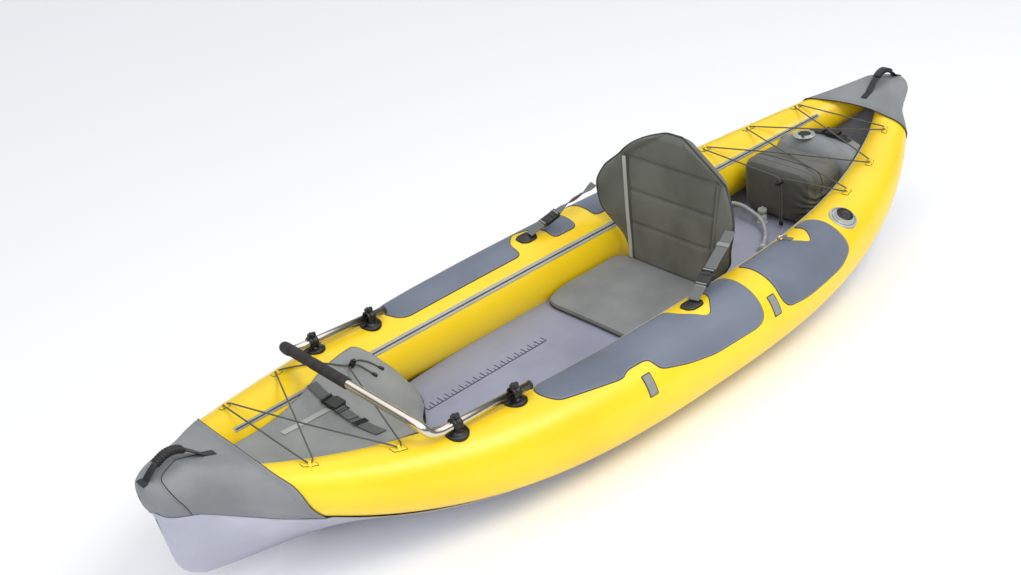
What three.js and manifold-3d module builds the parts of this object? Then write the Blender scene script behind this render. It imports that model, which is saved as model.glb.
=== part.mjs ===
import * as THREE from "three";
import { mergeVertices } from "three/addons/utils/BufferGeometryUtils.js";
import Module from "manifold-3d";

const wasm = await Module();
wasm.setup();

// Inflatable fishing kayak in millimetres: X runs forward, Y to port, Z up.
// The origin lies amidships on the level of the flat bottom.

// Hull form
const hullLength = 2950;
const hullBeam = 930;
const tubeRadius = 123;
const keelDepth = 30.5;
const noseReach = 105;
const pinchStart = 1200;
const pinchReach = 200;
const pinchShare = 0.24;
const tipRadius = 41;
const tipSpacing = 104;
const tipGap = 4;
const tipRise = 205;
const noseRadius = 23;
const noseEndWidth = 24;
const bottomFlatWidth = 380;
const keelEdgeWidth = 3;
const skinThickness = 2.4;
const skinGap = 1.6;
const seamGap = 0.85;
const spreadPower = 2.95;
const risePower = 3.05;
const taperPower = 2.35;
const tubeSides = 20;
const facetLean = 0.37;
const arcSteps = 8;
const coverSagShare = 0.12;

// Fits between neighbours, and the overrun of every cutting solid
const seatGap = 0.3;
const cutOverrun = 30;

// Places along the tubes, as shares of the tube's half length
const lipStartShare = 0.829;
const stationShares = [0, 0.15, 0.3, 0.42, 0.52, 0.6, 0.67, 0.73, 0.79, lipStartShare, 0.885, 0.925, 0.965, 1];
const domeShares = [[0.5, 0.87], [0.87, 0.5]];
const noseStationShares = [0.22, 0.43, 0.59, 0.7, 0.745, 0.8, 0.87, 0.94, 1];
const bottomEndShare = 0.745;

// Keel line: share of the tubes' half length, and of the nose's reach, to share of the tip height
const keelRiseShares = [[0, 0], [0.73, 0], [0.846, 0.073], [0.925, 0.134], [1, 0.2]];
const noseRiseShares = [[0, 0.2], [0.424, 0.296], [0.593, 0.385], [0.691, 0.6], [0.775, 0.82], [1, 0.9]];

// Lower lip of the end covers: share of the way to the hull's end, share of the tip height
const lipRiseShares = [[0, 0.55], [0.3, 0.637], [0.55, 0.722], [0.75, 0.8], [0.9, 0.845], [1, 0.86]];

// Edges of the end covers in side view: share of the half length, share of the tip height
const bowEdgeShares = [[0.84, 1.5], [0.832, 1.04], [0.8135, 0.912], [0.799, 0.731]];
const sternEdgeShares = [[0.805, 1.5], [0.81, 1.04], [0.822, 0.912], [0.834, 0.83]];
const bowLipShare = 0;
const sternLipShare = 0.287;
const sternMouthWidth = 270;
const sternMouthDepth = 60;
const sternMouthShare = 0.8;

// Floor panel
const floorTop = 106;
const floorWidth = 490;
const floorHalfLength = 1080;
const floorEndWidth = 190;
const floorSteps = 10;

// Cover strips over the tube zips
const stripAngle = -52;
const stripHalfAngle = 5;
const stripThickness = 1.4;
const stripReachShare = 0.85;

// Carry handles: places along the hull, webbing and grip
const handleEndShares = [0.884, 0.984];
const handleArch = 46;
const handleWidth = 24;
const webbingThickness = 2.4;
const gripWidth = 26;
const gripThickness = 15;
const gripRibDepth = 2.5;
const gripRibs = 6;
const gripSpanShares = [0.27, 0.79];
const ribShares = [0.25, 0.75];
const webbingTilt = 0.1;

// Wear patches: share of the half length, angle from the tube's top in degrees
const patchThickness = 1.8;
const frontPatchShares = [
  [0.34, -30], [0.363, -20], [0.375, 2], [0.359, 24], [0.302, 30], [0.226, 38], [0.213, 31],
  [0.164, 31], [0.158, 40], [0.151, 51], [0.09, 63], [0.024, 71], [-0.1, 73], [-0.121, 65],
  [-0.126, 42], [-0.126, -30], [0, -30], [0.17, -30],
];
const rearPatchShares = [
  [-0.178, -28], [-0.178, 40], [-0.176, 60], [-0.19, 74], [-0.25, 80], [-0.375, 80],
  [-0.412, 70], [-0.418, 58], [-0.414, 30], [-0.41, 0], [-0.4, -30], [-0.3, -30],
];
const frontCutoutRadius = 64;
const rearCutoutLength = 84;
const rearCutoutWidth = 52;
const rearCutoutShare = -0.338;
const cutoutSides = 16;

// Paddle keepers on the outer face of the tubes
const keeperShares = [0.186, -0.156];
const keeperWidth = 28;
const keeperAngles = [46, 54, 64, 74];
const keeperThickness = 2.6;

// Seat cushion and backrest
const seatFrontShare = 0.026;
const seatLength = 330;
const seatSideGap = 2;
const seatThickness = 44;
const seatCrown = 8;
const seatInset = 10;
const seatLengthShares = [0, 0.03, 0.12, 0.3, 0.5, 0.7, 0.88, 0.97, 1];
const seatTopShares = [1, 0.96, 0.75, 0.4, 0];
const backHeight = 442;
const backDrop = 18.3;
const backInset = 72;
const backThickness = 34;
const backEdgeThickness = 11;
const backLean = 40;
const backWingForward = 64;
const backSeamDepth = 9;
const backSeamShares = [0.3, 0.54, 0.78];
const backSeamHalfShare = 0.018;
const backFlatShares = [[0, 0.56], [0.78, 0.66], [1, 0.1]];
const backWidthShares = [
  [0, 0.6], [0.05, 0.64], [0.15, 0.74], [0.26, 0.86], [0.42, 0.96], [0.56, 1], [0.68, 0.93],
  [0.76, 0.8], [0.83, 0.68], [0.91, 0.5], [0.97, 0.3], [1, 0.14],
];
const backAcrossShares = [1, 0.97, 0.82, 0.66, 0.5, 0.25, 0];
const wingStartShare = 0.12;
const wingFullShare = 0.42;

// Seat straps with their patches and side release buckles
const strapWidth = 34;
const strapAnchorShare = -0.0115;
const strapPadLength = 66;
const strapPadWidth = 52;
const strapPadThickness = 4.6;
const strapLead = 62;
const strapAngle = -5;
const strapWingShare = 0.56;
const strapBite = 4;
const strapWingLead = -3.7;
const socketWall = 4;
const buckleLength = 36;
const buckleWidth = 40;
const buckleThickness = 11;
const buckleCornerCut = 7;
const tongueLength = 26;
const tongueReach = 20;

// Accessory bar and its clamps
const barRadius = 12;
const barInset = 42;
const barHeight = 25;
const barRise = 36;
const barReach = 98;
const barTail = 50;
const barCornerInset = 10;
const barCornerSetback = 26;
const barBend = 40;
const barBendSteps = 5;
const sleeveEndShare = 0.02;
const barSides = 12;
const sleeveThickness = 4;
const capLength = 14;
const capLip = 0.8;
const clampShares = [0.539, 0.41];
const clampDiscRadius = 31;
const clampDiscThickness = 5;
const clampDiscDepth = 14;
const clampPostRadius = 13;
const clampWidth = 24;
const clampWall = 6;
const clampLugWidth = 11;
const clampLugHeight = 9;
const discSides = 12;

// Foot brace between the tubes at the bow
const braceSteps = 3;
const braceEdgeLift = 4;
const braceCentreShares = [
  [0.402, 0.3], [0.41, 0.345], [0.44, 0.425], [0.485, 0.515], [0.53, 0.6], [0.572, 0.66],
  [0.62, 0.69], [0.69, 0.72], [0.76, 0.755], [0.835, 0.79],
];
const braceEdgeAngles = [-108, -96, -66, -27, -30, -37, -50, -64, -72, -76];
const braceSlant = 150;
const braceSlantStart = -150;
const braceSlantEnd = 110;
const braceSlantReach = 240;
const lashWidth = 26;
const lashLift = 1.5;
const fastenerLength = 46;
const fastenerWidth = 34;
const fastenerHeight = 11;
const braceLashShare = 0.602;
const bowFastenerShare = -0.5;
const sternFastenerShare = 0.125;
const sternLashShare = 0.6;
const bowLashShares = [-0.97, 0.6];
const sternLashShares = [-0.6, 0.7];

// Shock cord, its tabs and its locks
const cordRadius = 2.2;
const cordSides = 6;
const cordTipRadius = 3.4;
const cordTipLength = 14;
const tabLength = 34;
const tabWidth = 26;
const tabThickness = 2.4;
const tabRingWall = 1.8;
const tabRingDepth = 6;
const tabRingSides = 6;
const cordTurn = 10;
const cordLean = 6;
const cordCross = 3.5;
const cordSpacing = 6.4;
const bowTabShares = [[0.771, 8], [0.637, 8]];
const sternTabShares = [[-0.534, -2], [-0.653, 1], [-0.773, 1]];
const lockRadius = 8.5;
const lockLength = 20;
const lockHoleHeight = 6;
const lockButtonLength = 9;
const lockButtonTravel = 3;
const lockButtonBite = 2;
const lockButtonRadius = 5.5;
const bowLockPlaceShares = [0.51, -0.83];
const cordDropAngles = [-12, -26];
const bowTailShares = [
  [[0.49, -0.85], [0.474, -0.82], [0.455, -0.77]],
  [[0.492, -0.77], [0.486, -0.7], [0.478, -0.62]],
];
const sternLockOffset = 17;
const sternLockPlace = 45;
const sternLockDrop = 24;
const sternTailEnd = 8;
const lockSeatLift = 0.5;

// Bag and thwart at the stern
const bagFrontShare = -0.539;
const bagLength = 178;
const bagInset = 206;
const bagTop = 296;
const bagCorner = 40;
const bagCornerSteps = 4;
const thwartGap = 3;
const thwartLength = 165;
const thwartTop = 312;
const thwartCrown = 26;
const thwartEdgeAngle = -34;
const thwartProfileShares = [[0, 0.5], [0.05, 0.76], [0.17, 0.93], [0.33, 1], [0.73, 1], [0.87, 0.93], [0.96, 0.76], [1, 0.5]];
const bagLevelShares = [[0, 1], [0.03, 0.62], [0.1, 0.22], [0.22, 0], [0.78, 0], [0.9, 0.22], [0.97, 0.62], [1, 1]];

// Air valves, the floor hose and the lashing rings
const valveShare = -0.456;
const valveAngle = 25;
const valveRadius = 43;
const valveBoss = 29;
const valveBore = 21;
const valveHeight = 14;
const valveFlange = 3;
const valveFloor = 3.4;
const valveTravel = 4;
const plungerHeight = 5;
const thwartValveOffset = 56;
const hoseRadius = 6.5;
const hoseSides = 8;
const elbowSize = 22;
const floorValveRadius = 15;
const floorValveHeight = 46;
const floorValveShares = [0.55, 0.7, 0.28];
const floorValvePlaceShares = [-0.522, -0.09];
const hosePathShares = [
  [-0.414, 0.28, 0], [-0.447, 0.2, 0.15], [-0.479, 0.088, 0.4], [-0.4995, -0.035, 0.85], [-0.5055, -0.16, 1.3],
  [-0.511, -0.29, 1.5], [-0.512, -0.42, 1.3], [-0.503, -0.52, 0.6], [-0.492, -0.57, 0],
];
const ringShare = -0.316;
const ringAngle = -17;
const ringLength = 30;
const ringReach = 22;
const ringWire = 2.2;
const ringBarrelRadius = 4.6;
const ringBarrelLength = 18;
const ringSteps = 7;

const halfLength = hullLength / 2;
const tubeHalfLength = halfLength - noseReach;
const tubeSpread = hullBeam / 2 - tubeRadius;
const barHalfWidth = tubeSpread - barInset;
const tubeHeight = keelDepth + tubeRadius;
const tipHeight = tubeHeight + tipRise;
const lipStart = lipStartShare * tubeHalfLength;
const backWidth = 2 * (tubeSpread - backInset);
const bagWidth = 2 * (tubeSpread - bagInset);
const port = 1;
const starboard = -1;
const sideNames = { [port]: "port", [starboard]: "starboard" };
const radians = THREE.MathUtils.degToRad;

function point(x, y, z) {
  return new THREE.Vector3(x, y, z);
}

// Value at x on a line of [x, value] pairs
function between(table, x) {
  let i = 1;
  while (i < table.length - 1 && x > table[i][0]) {
    i += 1;
  }
  const [x0, v0] = table[i - 1];
  const [x1, v1] = table[i];
  const t = THREE.MathUtils.clamp((x - x0) / (x1 - x0), 0, 1);
  return v0 + (v1 - v0) * t;
}

// Closed geometry from points and faces, turned so that its faces point outward
function closedGeometry(points, faces) {
  let volume = 0;
  for (const [a, b, c] of faces) {
    volume += points[a].dot(point().crossVectors(points[b], points[c]));
  }
  const order = volume < 0 ? ([a, b, c]) => [a, c, b] : (face) => face;
  const geometry = new THREE.BufferGeometry();
  geometry.setAttribute("position", new THREE.Float32BufferAttribute(points.flatMap((p) => [p.x, p.y, p.z]), 3));
  geometry.setIndex(faces.flatMap(order));
  return geometry;
}

// Triangles that fill one ring of points
function ringFaces(ring, start) {
  const normal = point(0, 0, 0);
  ring.forEach((p, i) => normal.add(point().crossVectors(p, ring[(i + 1) % ring.length])));
  const size = [Math.abs(normal.x), Math.abs(normal.y), Math.abs(normal.z)];
  const drop = size.indexOf(Math.max(...size));
  const flat = ring.map((p) => new THREE.Vector2(...p.toArray().filter((_, axis) => axis !== drop)));
  const clockwise = THREE.ShapeUtils.isClockWise(flat);
  const turned = clockwise ? flat.slice().reverse() : flat;
  const index = (i) => start + (clockwise ? ring.length - 1 - i : i);
  const faces = THREE.ShapeUtils.triangulateShape(turned, []).map((face) => face.map(index));
  return clockwise ? faces.map(([a, b, c]) => [a, c, b]) : faces;
}

// Solid through rings of equal count, closed by its end rings or onto itself.
// Each four sided facet folds from its wide far corner, so that nested forms fold alike
function loft(rings, looped = false) {
  const count = rings[0].length;
  const points = rings.flat();
  const faces = [];
  const last = looped ? rings.length : rings.length - 1;
  const reach = (i) => Math.abs(points[i].y) + facetLean * points[i].z;
  for (let r = 0; r < last; r += 1) {
    const near = r * count;
    const far = ((r + 1) % rings.length) * count;
    for (let i = 0; i < count; i += 1) {
      const j = (i + 1) % count;
      const [a, b, c, d] = [near + i, near + j, far + j, far + i];
      const farEnd = Math.abs(points[c].x) > Math.abs(points[a].x);
      const wideSide = reach(b) + reach(c) > reach(a) + reach(d);
      faces.push(...(farEnd === wideSide ? [[a, b, c], [a, c, d]] : [[a, b, d], [b, c, d]]));
    }
  }
  if (!looped) {
    faces.push(...ringFaces(rings[0], 0).map(([a, b, c]) => [a, c, b]));
    faces.push(...ringFaces(rings.at(-1), (rings.length - 1) * count));
  }
  return closedGeometry(points, faces);
}

// Joining and cutting
function solid(geometry) {
  const bare = geometry.clone();
  bare.deleteAttribute("normal");
  bare.deleteAttribute("uv");
  const merged = mergeVertices(bare);
  return new wasm.Manifold(new wasm.Mesh({
    numProp: 3,
    vertProperties: new Float32Array(merged.attributes.position.array),
    triVerts: new Uint32Array(merged.index.array),
  }));
}

function geometryOf(body) {
  const mesh = body.getMesh();
  const geometry = new THREE.BufferGeometry();
  geometry.setAttribute("position", new THREE.BufferAttribute(mesh.vertProperties, 3));
  geometry.setIndex(new THREE.BufferAttribute(mesh.triVerts, 1));
  return geometry;
}

function joined(first, ...others) {
  return geometryOf(others.reduce((body, other) => body.add(solid(other)), solid(first)));
}

function cut(first, ...others) {
  return geometryOf(others.reduce((body, other) => body.subtract(solid(other)), solid(first)));
}

function common(first, ...others) {
  return geometryOf(others.reduce((body, other) => body.intersect(solid(other)), solid(first)));
}

function box(length, width, height) {
  return new THREE.BoxGeometry(length, width, height);
}

function drum(radius, height, sides = discSides) {
  return new THREE.CylinderGeometry(radius, radius, height, sides).rotateX(Math.PI / 2);
}

function moved(geometry, matrix) {
  return geometry.clone().applyMatrix4(matrix);
}

function shapeOf(points) {
  return new THREE.Shape(points.map(([x, y]) => new THREE.Vector2(x, y)));
}

// Outline in plan made into a tall prism above a level
function prism(outline, bottom, top) {
  const settings = { depth: top - bottom, bevelEnabled: false };
  return new THREE.ExtrudeGeometry(shapeOf(outline), settings).translate(0, 0, bottom);
}

function ellipse(centreX, centreY, radiusX, radiusY, sides = cutoutSides) {
  return Array.from({ length: sides }, (_, i) => {
    const angle = (2 * Math.PI * i) / sides;
    return [centreX + radiusX * Math.cos(angle), centreY + radiusY * Math.sin(angle)];
  });
}

// Round or flat tube along points, with one ring at each point
function sweep(path, ringAt, looped = false) {
  const count = path.length;
  const wrap = (i) => (looped ? (i + count) % count : THREE.MathUtils.clamp(i, 0, count - 1));
  let side = null;
  const rings = path.map((centre, i) => {
    const along = path[wrap(i + 1)].clone().sub(path[wrap(i - 1)]).normalize();
    const guess = side ?? (Math.abs(along.z) < 0.9 ? point(0, 0, 1) : point(1, 0, 0)).cross(along);
    side = guess.clone().addScaledVector(along, -guess.dot(along)).normalize();
    const up = point().crossVectors(along, side);
    return ringAt(i).map(([a, b]) => centre.clone().addScaledVector(side, a).addScaledVector(up, b));
  });
  return loft(rings, looped);
}

function circle(radius, sides) {
  return Array.from({ length: sides }, (_, i) => {
    const angle = (2 * Math.PI * (i + 0.5)) / sides;
    return [radius * Math.cos(angle), radius * Math.sin(angle)];
  });
}

function roundTube(path, radius, sides, looped = false) {
  return sweep(path, () => circle(radius, sides), looped);
}

function flatBand(path, width, thickness) {
  const ring = [[width / 2, thickness / 2], [-width / 2, thickness / 2]];
  return sweep(path, () => [...ring, ...ring.map(([a, b]) => [-a, -b])]);
}

// Polyline with its inner corners rounded
function rounded(corners, reach, steps) {
  const path = [corners[0]];
  for (let i = 1; i < corners.length - 1; i += 1) {
    const back = corners[i - 1].clone().sub(corners[i]);
    const ahead = corners[i + 1].clone().sub(corners[i]);
    const start = corners[i].clone().addScaledVector(back.clone().normalize(), Math.min(reach, back.length() / 2));
    const end = corners[i].clone().addScaledVector(ahead.clone().normalize(), Math.min(reach, ahead.length() / 2));
    const bend = new THREE.QuadraticBezierCurve3(start, corners[i], end);
    path.push(...bend.getPoints(steps));
  }
  path.push(corners.at(-1));
  return path.filter((p, i) => i === 0 || p.distanceTo(path[i - 1]) > seatGap);
}

// How far the hull's ends are drawn in at x
function pinchAt(x) {
  return 1 - pinchShare * THREE.MathUtils.smoothstep(x, pinchStart, pinchStart + pinchReach);
}

// Cross section of the tube at a share of its half length, before its end is drawn in
function tubeSection(share) {
  const y = tubeSpread - (tubeSpread - tipSpacing / 2) * share ** spreadPower;
  const z = tubeHeight + tipRise * share ** risePower;
  const radius = tubeRadius - (tubeRadius - tipRadius) * share ** taperPower;
  const turn = ((tubeSpread - tipSpacing / 2) * spreadPower * share ** (spreadPower - 1)) / tubeHalfLength;
  const climb = (tipRise * risePower * share ** (risePower - 1)) / tubeHalfLength;
  const wide = Math.min(radius * Math.hypot(1, turn), y - tipGap);
  return { y, z, wide, tall: radius * Math.hypot(1, climb) };
}

// Cross section of the cover beyond the tube tips
function noseSection(share) {
  const tip = tubeSection(1);
  const halfWidth = Math.max((tip.y + tip.wide) * Math.sqrt(1 - share ** 2), noseEndWidth / 2);
  const wide = Math.min(tip.wide + (noseRadius - tip.wide) * share, halfWidth - keelEdgeWidth);
  return { y: halfWidth - wide, z: tip.z, wide, tall: tip.tall + (noseRadius - tip.tall) * share };
}

const stations = [
  ...stationShares.map((share) => ({ x: share * tubeHalfLength, ...tubeSection(share) })),
  ...noseStationShares.map((share) => ({ x: tubeHalfLength + share * noseReach, ...noseSection(share) })),
].map((station) => ({ ...station, y: station.y * pinchAt(station.x), wide: station.wide * pinchAt(station.x) }));

function sectionAt(x) {
  const look = (key) => between(stations.map((station) => [station.x, station[key]]), Math.abs(x));
  return { x, y: look("y"), z: look("z"), wide: look("wide"), tall: look("tall") };
}

// Station places from one x to another, with both ends
function stationsBetween(from, to) {
  const all = stations.flatMap(({ x }) => (x > 0 ? [-x, x] : [x])).sort((a, b) => a - b);
  return [from, ...all.filter((x) => x > from && x < to), to];
}

// Next station in a direction, for a form that has to share the tubes' facets
function toStation(x, way) {
  const ahead = stationsBetween(-tubeHalfLength, tubeHalfLength).filter((place) => (place - x) * way >= 0);
  return ahead.length ? Math.min(...ahead.map((place) => place * way)) * way : x;
}

// Point on a tube's surface, with the angle taken outboard from its top
function onTube(x, angle, lift, side = port) {
  const section = sectionAt(x);
  const y = section.y + (section.wide + lift) * Math.sin(radians(angle));
  const z = section.z + (section.tall + lift) * Math.cos(radians(angle));
  return point(x, side * y, z);
}

// Frame on a tube with Z along its outward normal and X forward
function tubeFrame(x, angle, lift, side) {
  const step = tubeRadius / tubeSides;
  const forward = onTube(x + step, angle, 0, side).sub(onTube(x - step, angle, 0, side)).normalize();
  const outboard = onTube(x, angle + 1, 0, side).sub(onTube(x, angle - 1, 0, side)).multiplyScalar(side);
  const normal = point().crossVectors(forward, outboard).normalize();
  const across = point().crossVectors(normal, forward);
  const matrix = new THREE.Matrix4().makeBasis(forward, across, normal);
  return matrix.setPosition(onTube(x, angle, 0, side).addScaledVector(normal, lift));
}

// Outer angle at which the skin leaves the tube for the keel
function leaveAngle(section, wide, tall, flat, keel) {
  const dy = (section.y - flat) / wide;
  const dz = (section.z - keel) / tall;
  const turn = Math.acos(Math.min(1, 1 / Math.hypot(dy, dz)));
  const direction = Math.atan2(-dz, -dy) + turn;
  return Math.atan2(Math.cos(direction), Math.sin(direction));
}

function keelAt(x) {
  const beyond = (Math.abs(x) - tubeHalfLength) / noseReach;
  const along = between(keelRiseShares, Math.abs(x) / tubeHalfLength);
  return tipHeight * (beyond > 0 ? between(noseRiseShares, beyond) : along);
}

function lipAt(x) {
  const along = (Math.abs(x) - lipStart) / (halfLength - lipStart);
  return tipHeight * between(lipRiseShares, along);
}

// Skin points at x: the flat's edge, the tangent point, and the arc up to the tube's top
function skinSection(x, lift) {
  const section = sectionAt(x);
  const keel = keelAt(x);
  const flatEnd = keelRiseShares[1][0] * tubeHalfLength;
  const spread = 1 - Math.min(Math.abs(x) / flatEnd, 1) ** spreadPower;
  const flat = Math.max((bottomFlatWidth / 2) * spread, keelEdgeWidth / 2);
  const outerLift = skinGap + skinThickness;
  const wideOut = section.wide + outerLift;
  const tallOut = section.tall + outerLift;
  const leave = leaveAngle(section, wideOut, tallOut, flat, keel);
  const at = (angle, grow) => [
    section.y + (section.wide + grow) * Math.sin(angle),
    section.z + (section.tall + grow) * Math.cos(angle),
  ];
  const [outY, outZ] = at(leave, outerLift);
  const [leaveY, leaveZ] = at(leave, lift);
  const slope = (outZ - keel) / (outY - flat);
  const level = keel + outerLift - lift;
  const footY = Math.max(leaveY - (leaveZ - level) / slope, keelEdgeWidth / 2);
  const foot = [footY, leaveZ - slope * (leaveY - footY)];
  const arc = Array.from({ length: arcSteps + 1 }, (_, i) => at(leave * (1 - i / arcSteps), lift));
  const crest = section.z + section.tall + lift - coverSagShare * section.y;
  return { foot: lift === outerLift ? [flat, keel] : foot, leave: [leaveY, leaveZ], arc, crest };
}

// Whole outer form of the hull from x to x as a closed solid
function envelope(from, to, lift) {
  const rings = stationsBetween(toStation(from, -1), toStation(to, 1)).map((x) => {
    const { foot, arc, crest } = skinSection(x, lift);
    const half = [foot, ...arc];
    const portSide = half.map(([y, z]) => point(x, y, z));
    const mirrored = half.map(([y, z]) => point(x, -y, z)).reverse();
    return [...portSide, point(x, 0, crest), ...mirrored];
  });
  return loft(rings);
}

function makeTube(side, lift = 0) {
  const tip = stationShares.length - 1;
  const ringAt = ({ x, y, z, wide, tall }) => Array.from({ length: tubeSides }, (_, i) => {
    const angle = (2 * Math.PI * i) / tubeSides;
    return point(x, side * (y + (wide + lift) * Math.sin(angle)), z + (tall + lift) * Math.cos(angle));
  });
  const body = stations.slice(0, tip + 1);
  const dome = domeShares.map(([out, shrink]) => ({
    ...stations[tip],
    x: tubeHalfLength + out * (tipRadius + lift),
    wide: stations[tip].wide * shrink,
    tall: stations[tip].tall * shrink,
  }));
  const forward = [...body, ...dome];
  const aft = forward.slice(1).reverse().map((station) => ({ ...station, x: -station.x }));
  return loft([...aft, ...forward].map(ringAt));
}

const tubeShapes = { [port]: makeTube(port), [starboard]: makeTube(starboard) };
const tubeClearance = { [port]: makeTube(port, seatGap), [starboard]: makeTube(starboard, seatGap) };

// Sheet on a tube between two lifts, trimmed to an outline in plan
function tubeSheet(side, outline, thickness) {
  const sheet = cut(makeTube(side, seatGap + thickness), makeTube(side, seatGap));
  return common(sheet, prism(outline, tubeHeight + patchThickness, tipHeight + tubeRadius));
}

function planOutline(shares, side) {
  const outline = shares.map(([share, angle]) => {
    const p = onTube(share * halfLength, angle, 0, side);
    return [p.x, p.y];
  });
  return side === port ? outline : outline.reverse();
}

// Piece set on a tube, with its foot shaped to the tube
function seated(geometry, matrix, side) {
  return cut(geometry, moved(tubeClearance[side], matrix.clone().invert()));
}

const kayak = new THREE.Group();

function add(group, name, geometry, finish, matrix = null) {
  const material = new THREE.MeshStandardMaterial(finish);
  const mesh = new THREE.Mesh(geometry, material);
  mesh.name = name;
  if (matrix) {
    mesh.applyMatrix4(matrix);
  }
  group.add(mesh);
  return mesh;
}

const finishes = {
  yellow: { color: 0xf4d21f, roughness: 0.35, metalness: 0 },
  cover: { color: 0x8b8d8b, roughness: 0.75, metalness: 0 },
  floor: { color: 0x9a99a8, roughness: 0.6, metalness: 0 },
  patch: { color: 0x74777c, roughness: 0.65, metalness: 0 },
  strip: { color: 0xa9aaa6, roughness: 0.6, metalness: 0 },
  cloth: { color: 0x6d6f6a, roughness: 0.9, metalness: 0 },
  webbing: { color: 0x585a58, roughness: 0.9, metalness: 0 },
  black: { color: 0x1b1b1c, roughness: 0.45, metalness: 0 },
  foam: { color: 0x2c2a2a, roughness: 0.95, metalness: 0 },
  metal: { color: 0xb9b4a8, roughness: 0.3, metalness: 1 },
  grey: { color: 0xb6b8b4, roughness: 0.5, metalness: 0 },
};

// Hull: bottom skin, tubes, floor and end covers
const hull = new THREE.Group();
kayak.add(hull);

function makeBottom() {
  const outer = skinGap + skinThickness;
  const end = tubeHalfLength + bottomEndShare * noseReach;
  const toEdge = ({ foot, leave }, level) => {
    const t = Math.min((level - foot[1]) / (leave[1] - foot[1]), 1);
    return foot.map((value, i) => value + (leave[i] - value) * t);
  };
  const rings = stationsBetween(-end, end).map((x) => {
    const outside = skinSection(x, outer);
    const inside = skinSection(x, skinGap);
    const level = Math.abs(x) < lipStart ? tipHeight : lipAt(x) - seamGap;
    const half = [toEdge(outside, level), outside.foot];
    const inner = [inside.foot, toEdge(inside, level)];
    const mirror = (list) => list.map(([y, z]) => point(x, -y, z)).reverse();
    const plain = (list) => list.map(([y, z]) => point(x, y, z));
    return [...plain(half), ...mirror(half), ...mirror(inner), ...plain(inner)];
  });
  return loft(rings);
}

// Space under the floor panel, down through the bottom skin
function makeUnderFloor() {
  const rings = stationsBetween(-floorHalfLength - cutOverrun, floorHalfLength + cutOverrun).map((x) => {
    const { foot, leave } = skinSection(x, skinGap - seatGap);
    return [
      point(x, leave[0], leave[1]), point(x, foot[0], foot[1]),
      point(x, -foot[0], foot[1]), point(x, -leave[0], leave[1]),
      point(x, -leave[0], -cutOverrun), point(x, leave[0], -cutOverrun),
    ];
  });
  return loft(rings);
}

function floorHalfWidthAt(x) {
  const share = Math.min(Math.abs(x) / floorHalfLength, 1);
  return floorWidth / 2 - (floorWidth / 2 - floorEndWidth / 2) * share ** spreadPower;
}

function makeFloor() {
  const places = Array.from({ length: floorSteps + 1 }, (_, i) => floorHalfLength * (1 - (2 * i) / floorSteps));
  const portEdge = places.map((x) => [x, floorHalfWidthAt(x)]);
  const outline = [...portEdge, ...portEdge.map(([x, y]) => [x, -y]).reverse()];
  const slab = prism(outline, 0, floorTop);
  return cut(slab, makeUnderFloor(), tubeClearance[port], tubeClearance[starboard]);
}

// Zip strip on a tube, or the room it takes when given a margin
function makeStrip(side, margin = 0) {
  const reach = stripReachShare * tubeHalfLength + margin;
  const spread = stripHalfAngle + margin;
  const angles = [stripAngle - spread, stripAngle, stripAngle + spread];
  const rings = stationsBetween(-reach, reach).map((x) => [
    ...angles.map((angle) => onTube(x, angle, seatGap + stripThickness + margin, side)),
    ...angles.map((angle) => onTube(x, angle, seatGap - margin, side)).reverse(),
  ]);
  return loft(rings);
}

// Cover over one end: the hull's outer form, hollowed, above its lip and beyond its edge
function makeCover(end, edgeShares, lipShare) {
  const from = lipStart - cutOverrun;
  const outerLift = skinGap + skinThickness;
  const form = end > 0 ? envelope(from, halfLength, outerLift) : envelope(-halfLength, -from, outerLift);
  const hollow = end > 0
    ? envelope(from - cutOverrun, halfLength - skinThickness, skinGap)
    : envelope(skinThickness - halfLength, cutOverrun - from, skinGap);
  const edge = edgeShares.map(([x, z]) => [x * halfLength, z * tipHeight]);
  const lipX = lipStart + lipShare * (halfLength - lipStart);
  const beyond = halfLength + cutOverrun;
  const lip = [lipX, ...stations.map(({ x }) => x).filter((x) => x > lipX), beyond].map((x) => [x, lipAt(x)]);
  const rim = [...edge, ...lip, [beyond, edge[0][1]]];
  const outline = rim.map(([x, z]) => [end * x, z]);
  const wide = hullBeam + cutOverrun;
  const trim = new THREE.ExtrudeGeometry(shapeOf(outline), { depth: wide, bevelEnabled: false });
  trim.translate(0, 0, -wide / 2).rotateX(Math.PI / 2);
  return common(cut(form, hollow), trim);
}

function makeSternCover() {
  const mouth = ellipse(-sternMouthShare * halfLength, 0, sternMouthDepth, sternMouthWidth / 2);
  return cut(makeCover(-1, sternEdgeShares, sternLipShare), prism(mouth, 0, tipHeight + tubeRadius));
}

add(hull, "hull_bottom", makeBottom(), finishes.floor);
add(hull, "floor_panel", makeFloor(), finishes.floor);
add(hull, "bow_cover", makeCover(1, bowEdgeShares, bowLipShare), finishes.cover);
add(hull, "stern_cover", makeSternCover(), finishes.cover);
for (const side of [port, starboard]) {
  add(hull, `seam_strip_${sideNames[side]}`, makeStrip(side), finishes.strip);
  add(hull, `tube_${sideNames[side]}`, tubeShapes[side], finishes.yellow);
}

// Flat ring with its corners cut, for webbing and grips
function chamfered(width, thickness) {
  const corner = thickness / 3;
  const [a, b] = [width / 2, thickness / 2];
  const quarter = [[a, b - corner], [a - corner, b]];
  const left = quarter.map(([u, v]) => [-u, v]).reverse();
  const upper = [...quarter, ...left];
  return [...upper, ...upper.map(([u, v]) => [-u, -v])];
}

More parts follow.
